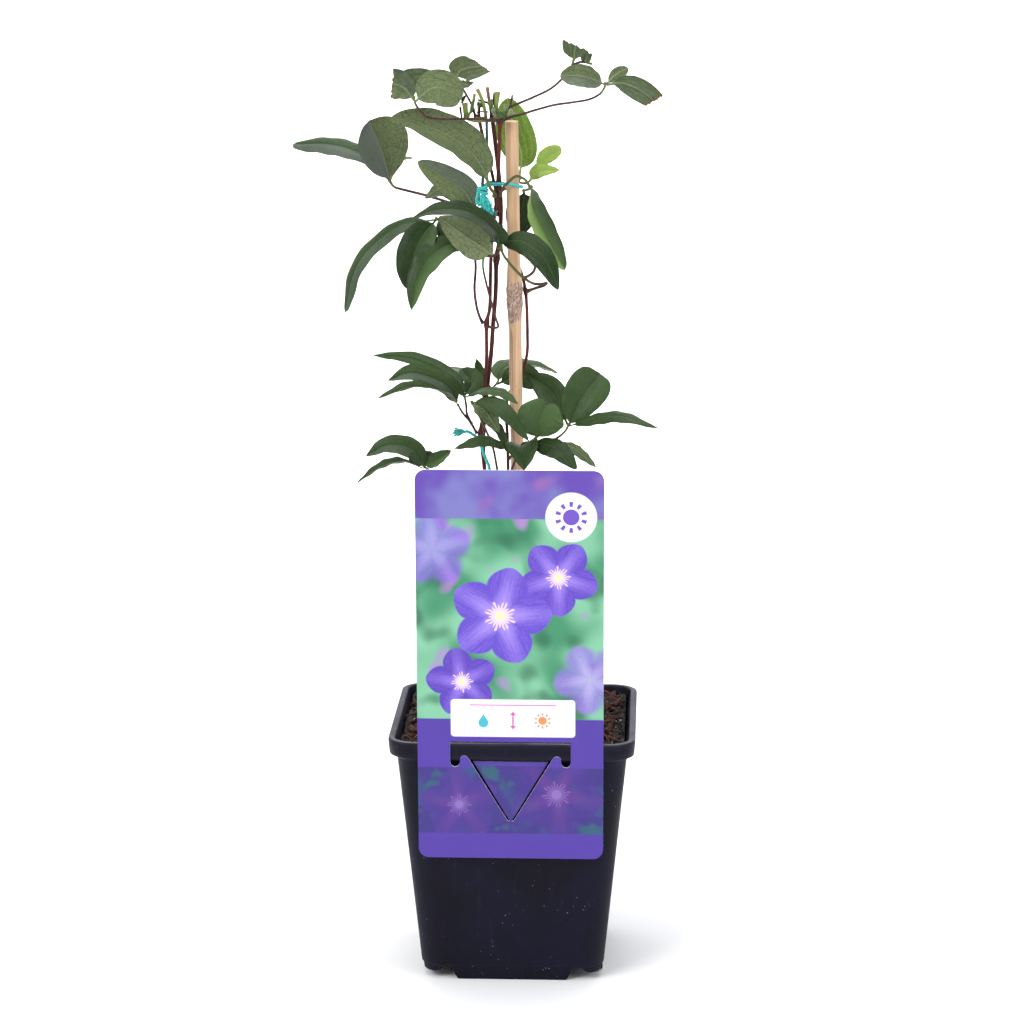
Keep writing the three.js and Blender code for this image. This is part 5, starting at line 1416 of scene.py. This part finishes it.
# Skins: name, the colours deep, fresh, bright, of the nerves and of the net, how far the nerves show,
# gloss, roughness, how far the net shows, and how far the nerves stand out
LEAF_SKINS = [
    ("leaf_upper_side", "#1d2f15", "#4e663c", "#8aa85a", "#5d7440", "#3a5428", 0.3, 0.17, 0.4, 0.2, -0.6),
    ("leaf_underside", "#3d4b33", "#6b7850", "#949f7a", "#8a9a72", "#28351f", 0.45, 0.24, 0.55, 0.6, 1.0),
    ("young_leaf_upper_side", "#426a1a", "#9cb852", "#b4cf62", "#c4db86", "#b4d06c",
     0.6, 0.2, 0.42, 0.5, -0.6),
    ("young_leaf_underside", "#5a7f33", "#a8c76a", "#c0d68a", "#cfe0a0", "#7fa04a",
     0.6, 0.24, 0.5, 0.3, 1.0),
]


def make_leaves():
    top, under, young_top, young_under = (leaf_skin(*skin) for skin in LEAF_SKINS)
    stalk = stem_bark("leaf_stalk", "#2c1a1c", "#5b3a33", "#5f6b34")
    young_stalk = stem_bark("young_leaf_stalk", "#4a4a28", "#6c7434", "#9db556")
    for leaf in LEAVES:
        place = placer(leaf)
        young = leaf["name"] == "leaf_young"
        skins = (young_top, young_under) if young else (top, under)
        slot = "young_leaf" if young else "leaf"
        blades = joined("blades", [grow_blade(leaflet, place, *skins) for leaflet in leaf["leaflets"]])
        show(leaf["name"] + "_blades", blades, slot, leaf["name"])
        lines = [stalk_line(points, place, leaf) for points in leaf["stalks"]]
        stalks = routes("stalks", lines, young_stalk if young else stalk, sides=10, rough_scale=600.0)
        show(leaf["name"] + "_stalks", stalks, slot, leaf["name"])
    bracts = [grow_blade(dict(bract, stalk=0, ruffle=0.1), tuple, top, under) for bract in BRACTS]
    show("stem_red_bracts", joined("stem_red_bracts", bracts), "leaf", "stem_red")


# Ties: turquoise string, knotted round the stems and the cane

STRING_RADIUS = 0.82

UPPER_LOOP = [
    (-15.6, -7.4, 420), (-12.6, -6, 420.6), (-9.4, -5.6, 420.8), (-5, -4.4, 420.6),
    (-1.8, -2.6, 420.2), (1.2, -1.4, 419.4), (3, 1.6, 418.6), (2, 5.6, 418.4), (-1.8, 7.2, 418.8),
    (-6, 8.8, 419.4), (-10, 10.4, 419.8), (-13.4, 10, 420), (-15, 6.5, 420), (-15.8, 0, 419.8),
    (-16.2, -5, 419.4),
]
UPPER_TAIL = [
    (-16.5, -8.5, 417), (-16.5, -9, 414.5), (-15.5, -9.5, 411), (-14, -9.5, 407.5), (-14, -9.5, 405),
]
UPPER_BOW = [
    (-19, -8.5, 417.5), (-19.5, -9.5, 415.5), (-20, -10, 412.5), (-18.5, -10, 410.5),
    (-17.5, -10, 412.5), (-17.5, -9.5, 415.5),
]
UPPER_END = [
    (-17, -8.5, 418), (-17, -7.5, 422.5), (-16.5, -4.5, 428.5), (-15, -4, 439), (-15, -5.4, 453.6),
]
KNOT_MIDDLE = (-17, -8.5, 418)
KNOT_SIZE = 2.4
# The turns of the knot: how far each tilts and how far it leans up
KNOT_TURNS = ((0.3, 0.5), (-0.35, 0.0), (0.25, -0.5))
LOWER_LOOP = [
    (-18.8, -7, 285), (-20.6, -5, 284.6), (-20.2, -1, 284.4), (-19.2, 1.8, 284.4), (-17, 2.9, 284.4),
    (-14.9, 1.2, 284.6), (-15.2, -2.6, 284.8), (-16.2, -5.6, 285), (-17.8, -7.1, 285.2),
]
LOWER_STRING = [
    (-28, -8.5, 289.5), (-25, -9, 290), (-21, -8.5, 287.5), (-18.6, -7.6, 285), (-17, -8, 279),
    (-15, -8, 274), (-13.5, -8, 268.5), (-12.5, -8, 250),
]


def string_line(points, girth=STRING_RADIUS):
    """A length of string as a line for routes."""
    return dict(points=fine_line(points, 12), girth=girth, rough=0.1)


def knot_lines(middle, size):
    """Turns of string wound over each other into a knot."""
    lines = []
    turn = np.linspace(0, 2 * math.pi, 33)
    for tilt, lean in KNOT_TURNS:
        ring = np.stack([np.cos(turn) * size, np.sin(turn) * size * 0.7,
                         np.sin(turn + lean * 3) * size * tilt + lean * size], axis=1)
        lines.append(dict(points=np.array(middle) + ring, girth=STRING_RADIUS * 0.95, rough=0.15))
    return lines


# The ends that fray: start, the way the fibres go, their length, spread and number, and the seed
UPPER_FRAY = ((-16.5, -9, 415), (0.25, 0, -1), 10.5, 0.15, 260, 2)
LOWER_FRAY = ((-27.6, -8.6, 289.6), (-1, 0, 0.05), 4.2, 0.28, 90, 3)
# Girth of the matted tail, at shares of its length
TAIL_SHARES = (0, 0.25, 0.55, 0.85, 1)
TAIL_GIRTHS = (0.9, 1.4, 2.2, 1.9, 0.6)


def frayed_lines(start, aim, length, spread, count, seed):
    """The loose ends of a cut string: fine fibres that fan out and curl."""
    draw = random.Random(seed)
    aim = np.array(aim, dtype=float) / np.linalg.norm(aim)
    lines = []
    for _ in range(count):
        stray = np.array([draw.gauss(0, 1) for _ in range(3)])
        foot = np.array(start) + stray * 0.35
        tip = foot + (aim + stray * spread) * length * draw.uniform(0.6, 1.1)
        middle = (foot + tip) / 2 + np.array([draw.gauss(0, 1) for _ in range(3)]) * length * 0.07
        girth = draw.uniform(0.12, 0.22)
        lines.append(dict(points=fine_line([foot, middle, tip], 4), girth=girth, rough=0.0))
    return lines


def make_ties():
    string = tie_string()
    tail = fine_line(UPPER_TAIL, 12)
    swell = np.interp(np.linspace(0, 1, len(tail)), TAIL_SHARES, TAIL_GIRTHS)
    upper = [string_line(UPPER_LOOP), string_line(UPPER_BOW), dict(string_line(UPPER_END, 0.85), shade=1.0),
             dict(points=tail, girth=swell, rough=0.9), *knot_lines(KNOT_MIDDLE, KNOT_SIZE)]
    lower = [string_line(LOWER_LOOP), string_line(LOWER_STRING)]
    for node, lines, fray in (("tie_upper", upper, UPPER_FRAY), ("tie_lower", lower, LOWER_FRAY)):
        meshes = [routes("tie", lines, string, sides=18, lobes=3, depth=0.09, turns=150.0),
                  routes("fray", frayed_lines(*fray), string, sides=4)]
        show(node + "_string", joined(node + "_string", meshes), "string", node)


# Label: a printed card with a slot for the pot's lip and a V-cut tongue under it

CARD_WIDTH = 97
CARD_HEIGHT = 212.4
CARD_THICK = 0.6
CARD_CORNER = 5.5
CARD_LEAN = math.radians(5)
CARD_X = -0.1
CARD_BOTTOM_Z = 71.2
CARD_REST_Z = POT_HEIGHT - 1
CARD_BOTTOM_Y = -(RIM_WIDTH / 2 + 0.35) + (CARD_REST_Z - CARD_BOTTOM_Z) * math.tan(CARD_LEAN)

# Heights on the card, measured up from its lower edge
SLOT_TOP = 65
SLOT_BOTTOM = 55.2
HOOK_BOTTOM = 51
TONGUE_TOP = 53
APEX = 19.4
SLOT_HALF = 31.5
HOOK_WIDTH = 5
SHOULDER = 2.3
SLIT = 1.1
TONGUE_HALF = 19.6
TUCK = 2.6
PRINT_LINE = 186.5
PANEL_BOTTOM = 77.7
BAND_TOP = 51
BAND_BOTTOM = 13.7
PLAQUE = (1.4, 78.2, 32.4, 10.3)
BADGE = (31.6, 187.6, 13.2)


def arc(cx, cy, radius, start, end):
    turn = np.radians(np.linspace(start, end, 9))
    return [(cx + radius * math.cos(a), cy + radius * math.sin(a)) for a in turn]


def card_outline():
    half, r = CARD_WIDTH / 2, CARD_CORNER
    return (arc(half - r, r, r, -90, 0) + arc(half - r, CARD_HEIGHT - r, r, 0, 90)
            + arc(r - half, CARD_HEIGHT - r, r, 90, 180) + arc(r - half, r, r, 180, 270))


def card_cut():
    """The slot with its two hooks, running on into the slits of the V-cut tongue."""
    notch = HOOK_WIDTH / 2
    shoulder_x = SLOT_HALF - HOOK_WIDTH - SHOULDER
    right = [(SLOT_HALF, SLOT_TOP), (SLOT_HALF, HOOK_BOTTOM + notch)]
    right += arc(SLOT_HALF - notch, HOOK_BOTTOM + notch, notch, 0, -180)[1:]
    right += arc(shoulder_x, SLOT_BOTTOM - 0.4, SHOULDER, 20, 150)
    right += [(1.0 + SLIT / 2, APEX + 1.5), (1.0 - SLIT / 2, APEX + 1.5), (TONGUE_HALF, TONGUE_TOP)]
    return [(-x, y) for x, y in reversed(right)] + right


def card_mesh():
    """The card lying flat, its lower edge on the X axis, with the slot and the slits cut through."""
    curve = bpy.data.curves.new("card", "CURVE")
    curve.dimensions = "2D"
    curve.fill_mode = "BOTH"
    curve.extrude = CARD_THICK / 2 * MM
    for outline in (card_outline(), card_cut()):
        spline = curve.splines.new("POLY")
        spline.points.add(len(outline) - 1)
        for point, (x, y) in zip(spline.points, outline):
            point.co = (x * MM, y * MM, 0, 1)
        spline.use_cyclic_u = True
    holder = new_object("card", curve)
    mesh = baked(holder)
    bpy.data.objects.remove(holder)
    return mesh


def tuck_tongue(x, y):
    """How far the tongue between the slits leans back at a point of the card."""
    rise = (y - APEX) / (TONGUE_TOP - APEX)
    in_tongue = (y > APEX) & (y <= TONGUE_TOP + 0.01) & (np.abs(x) < TONGUE_HALF + 0.1)
    in_tongue &= np.abs(x) <= rise * (TONGUE_HALF + 0.2)
    return np.where(in_tongue, TUCK * rise, 0.0)


def make_card():
    mesh = card_mesh()
    flat = point_places(mesh) / MM
    x, y, z = flat.T
    z = z - tuck_tongue(x, y) - CARD_THICK / 2
    turn = math.pi / 2 + CARD_LEAN
    placed = np.stack([x + CARD_X, y * math.cos(turn) - z * math.sin(turn) + CARD_BOTTOM_Y,
                       y * math.sin(turn) + z * math.cos(turn) + CARD_BOTTOM_Z], axis=1)
    mesh.vertices.foreach_set("co", at(placed).ravel())
    sheet = mesh.uv_layers.new(name="card_mm")
    for loop in mesh.loops:
        sheet.data[loop.index].uv = flat[loop.vertex_index][:2]
    mesh.update()
    mesh.materials.clear()
    skins = card_print(), card_plain("card_back", "#c9c6d2"), card_plain("card_cut_edge", "#f3f1f8")
    for face in mesh.polygons:
        face.use_smooth = False
        facing = face.normal.y
        face.material_index = 0 if facing < -0.7 else 1 if facing > 0.7 else 2
    show("label_print", mesh, "card", "label_card", skins)


def card_plain(name, code):
    """The unprinted plastic of the card's back and of its cut edges."""
    material, _, place = new_material(name)
    haze = clouds(place, 90, 3).ramp(0.3, 0.7)
    return finish(material, mix(haze * 0.25, code, "#ffffff"), 0.45)


# Shapes printed on the card: each gives 1 inside the shape and 0 outside it

def disc(u, v, middle_u, middle_v, radius, soft=0.35):
    reach = ((u - middle_u) ** 2.0 + (v - middle_v) ** 2.0).math("SQRT")
    return reach.ramp(radius + soft, radius - soft)


def round_box(u, v, middle_u, middle_v, half_u, half_v, corner, soft=0.3):
    du = (abs(u - middle_u) - (half_u - corner)).math("MAXIMUM", 0.0)
    dv = (abs(v - middle_v) - (half_v - corner)).math("MAXIMUM", 0.0)
    return (du ** 2.0 + dv ** 2.0).math("SQRT").ramp(corner + soft, corner - soft)


PETALS = 5
PETAL_WIDTH = 0.4
STAMENS = 21


def blossom(u, v, flower):
    """A printed five-petalled flower: the masks of its petals and heart, and the shade along a petal."""
    du, dv = u - flower["u"], v - flower["v"]
    reach = (du * du + dv * dv).math("SQRT")
    angle = dv.math("ARCTAN2", du) + flower["turn"] + 4 * math.pi
    sector = (angle * (PETALS / (2 * math.pi))).math("FRACT") - 0.5
    bend = sector * (2 * math.pi / PETALS)
    along = reach * bend.math("COSINE") / flower["reach"]
    aside = abs(reach * bend.math("SINE")) / flower["reach"]
    capped = along.math("MINIMUM", 1.0).math("MAXIMUM", 0.0)
    width = ((capped ** 1.25) * math.pi).math("SINE").math("MAXIMUM", 0.0) ** 0.62 * PETAL_WIDTH
    soft = flower.get("soft", 0.02)
    petal = (width - aside).ramp(-soft, soft) * along.ramp(1.0 + soft, 1.0 - soft)
    shade = (aside / 0.16) ** 2.0
    shade = (shade * -1.0).math("EXPONENT") * along.ramp(0.1, 0.9, 1.0, 0.35)
    heart = reach.ramp(flower["reach"] * 0.12, flower["reach"] * 0.08)
    spoke = abs((angle * (STAMENS / (2 * math.pi))).math("FRACT") - 0.5).ramp(0.38, 0.2)
    length = ((angle * 8.0).math("SINE") * 0.05 + 0.26) * flower["reach"]
    stamens = (spoke + reach.ramp(flower["reach"] * 0.2, flower["reach"] * 0.14)).math("MINIMUM", 1.0)
    stamens = stamens * (reach - length).ramp(0.5, -0.5)
    grain = vector(u.tree, aside * 26.0, along * 2.2, sector * 3.0)
    return petal, shade + (clouds(grain, 1.0, 3) - 0.5) * 0.7, heart, stamens


# The flowers printed on the card, from back to front, in millimetres on the card
PICTURE_FLOWERS = [
    dict(u=-40, v=170, reach=21, turn=0.3, soft=0.14, deep="#7a5cc4", pale="#a58ae0", faint=True),
    dict(u=42, v=100, reach=20, turn=1.1, soft=0.14, deep="#8462c9", pale="#b79be6", faint=True),
    dict(u=25, v=155, reach=21, turn=0.9, deep="#5b3fb6", pale="#9a80e0"),
    dict(u=-25, v=98, reach=19, turn=0.1, deep="#5438ad", pale="#8f74da"),
    dict(u=-5, v=134, reach=27, turn=0.55, deep="#5f45bd", pale="#a48ce6"),
]
BAND_FLOWERS = [
    dict(u=-27, v=30, reach=21, turn=0.2, soft=0.05, deep="#412a86", pale="#5c348c"),
    dict(u=24, v=36, reach=25, turn=0.8, soft=0.05, deep="#3e2784", pale="#5e3288"),
]


def print_picture(u, v, sheet):
    """Out-of-focus greens with violet flowers before them."""
    broad = clouds(sheet, 0.03, 1)
    second = clouds(sheet.plus((40, 17, 0)), 0.045, 1)
    paint = mix(broad.ramp(0.36, 0.62), "#3a8862", "#7cbc98")
    paint = mix(second.ramp(0.52, 0.68) * 0.85, paint, "#1f6446")
    third = clouds(sheet.plus((5, 90, 0)), 0.05, 1)
    paint = mix(third.ramp(0.6, 0.75), paint, "#a57cc0")
    for flower in PICTURE_FLOWERS:
        petal, shade, heart, stamens = blossom(u, v, flower)
        streak = clouds(sheet, 0.6, 3)
        tint = mix(shade * 0.9 + (streak - 0.5) * 0.3, flower["deep"], flower["pale"])
        paint = mix(petal * (0.75 if flower.get("faint") else 1.0), paint, tint)
        if not flower.get("faint"):
            paint = mix(stamens * 0.85, paint, "#ecd0f2")
            paint = mix(heart, paint, "#efe3b0")
    return paint


def print_band(u, v, sheet, ground):
    """The dim flowers under the violet of the card's foot."""
    dim = mix(clouds(sheet, 0.05, 2).ramp(0.5, 0.62), "#37297c", "#2f427c")
    dim = mix(clouds(sheet.plus((3, 50, 0)), 0.07, 2).ramp(0.54, 0.66), dim, "#27566c")
    for flower in BAND_FLOWERS:
        petal, shade, heart, stamens = blossom(u, v, flower)
        tint = mix(shade, flower["deep"], flower["pale"])
        dim = mix(petal * 0.85, dim, tint)
        dim = mix((heart + stamens * 0.5).math("MINIMUM", 1.0) * 0.4, dim, "#a98fd8")
    inside = v.ramp(BAND_BOTTOM, BAND_BOTTOM + 0.5) * v.ramp(BAND_TOP, BAND_TOP - 0.5)
    return mix(inside, ground, dim)


def sun_mark(u, v, cu, cv, size):
    """A round sun with ten rays."""
    du, dv = u - cu, v - cv
    reach = (du * du + dv * dv).math("SQRT") / size
    spoke = abs(((dv.math("ARCTAN2", du) + 4 * math.pi) * (10 / (2 * math.pi))).math("FRACT") - 0.5)
    rays = spoke.ramp(0.24, 0.16) * reach.ramp(1.3, 1.36) * reach.ramp(2.0, 1.94)
    return rays + reach.ramp(1.04, 0.98)


def drop_mark(u, v, cu, cv, size):
    """A drop of water with its point up."""
    ball = disc(u, v, cu, cv, size, 0.2)
    rise = (v - cv) / size
    cone = (rise.ramp(0.0, 2.2, 0.93, 0.0) * size - abs(u - cu)).ramp(-0.15, 0.15)
    return (ball + cone * rise.ramp(0.2, 0.3) * rise.ramp(2.1, 2.0)).math("MINIMUM", 1.0)


def height_mark(u, v, cu, cv, size):
    """An upright line with an arrowhead at each end."""
    du, dv = abs(u - cu), abs(v - cv) / size
    shaft = du.ramp(0.55, 0.3) * dv.ramp(1.5, 1.4)
    head = ((2.0 - dv) * size * 0.8 - du).ramp(-0.15, 0.15) * dv.ramp(1.1, 1.2)
    return (shaft + head).math("MINIMUM", 1.0)


def card_print():
    """The printed face: violet head, a picture of small violet flowers, white fields, violet foot."""
    material, tree, place = new_material("card_print")
    sheet = add(tree, "ShaderNodeUVMap", uv_map="card_mm")
    u, v, _ = sheet.split()
    head_haze = clouds(sheet.plus((11, 3, 0)), 0.035, 2)
    head = mix(head_haze.ramp(0.35, 0.65), "#5c3fa4", "#7472b4")
    head = mix(clouds(sheet.plus((60, 8, 0)), 0.05, 1).ramp(0.55, 0.72), head, "#8a5aa2")
    foot = "#4b339a"
    paint = print_picture(u, v, sheet)
    paint = mix(v.ramp(PRINT_LINE - 0.25, PRINT_LINE + 0.25), paint, head)
    paint = mix(v.ramp(PANEL_BOTTOM + 0.25, PANEL_BOTTOM - 0.25), paint, foot)
    paint = print_band(u, v, sheet, paint)
    white = "#f2f0fa"
    paint = mix(round_box(u, v, *PLAQUE, 1.8), paint, white)
    paint = mix(disc(u, v, *BADGE), paint, white)
    paint = mix(sun_mark(u, v, BADGE[0], BADGE[1], 4.2), paint, "#6a4bb8")
    line = round_box(u, v, PLAQUE[0], PLAQUE[1] + 7.2, 22.5, 0.35, 0.3, 0.15)
    paint = mix(line, paint, "#c77bc0")
    paint = mix(drop_mark(u, v, -14, 75.6, 2.6), paint, "#3fb0c4")
    paint = mix(height_mark(u, v, 1.4, 77.0, 2.5), paint, "#c95aa6")
    paint = mix(sun_mark(u, v, 16.8, 77.0, 2.2), paint, "#e08a4c")
    grime = cells(place, 240).ramp(0.08, 0.03) * clouds(place, 40, 1).ramp(0.55, 0.68)
    paint = mix(grime * 0.6, paint, "#4a3a34")
    roughness = clouds(place, 60, 3).ramp(0.3, 0.7, 0.32, 0.42)
    return finish(material, paint, roughness, Specular_IOR_Level=0.35, Coat_Weight=0.1, Coat_Roughness=0.2)


# Making everything

make_camera()
make_floor()
make_lights()
make_pot()
make_soil()
make_cane()
make_stems()
make_leaves()
make_ties()
make_card()
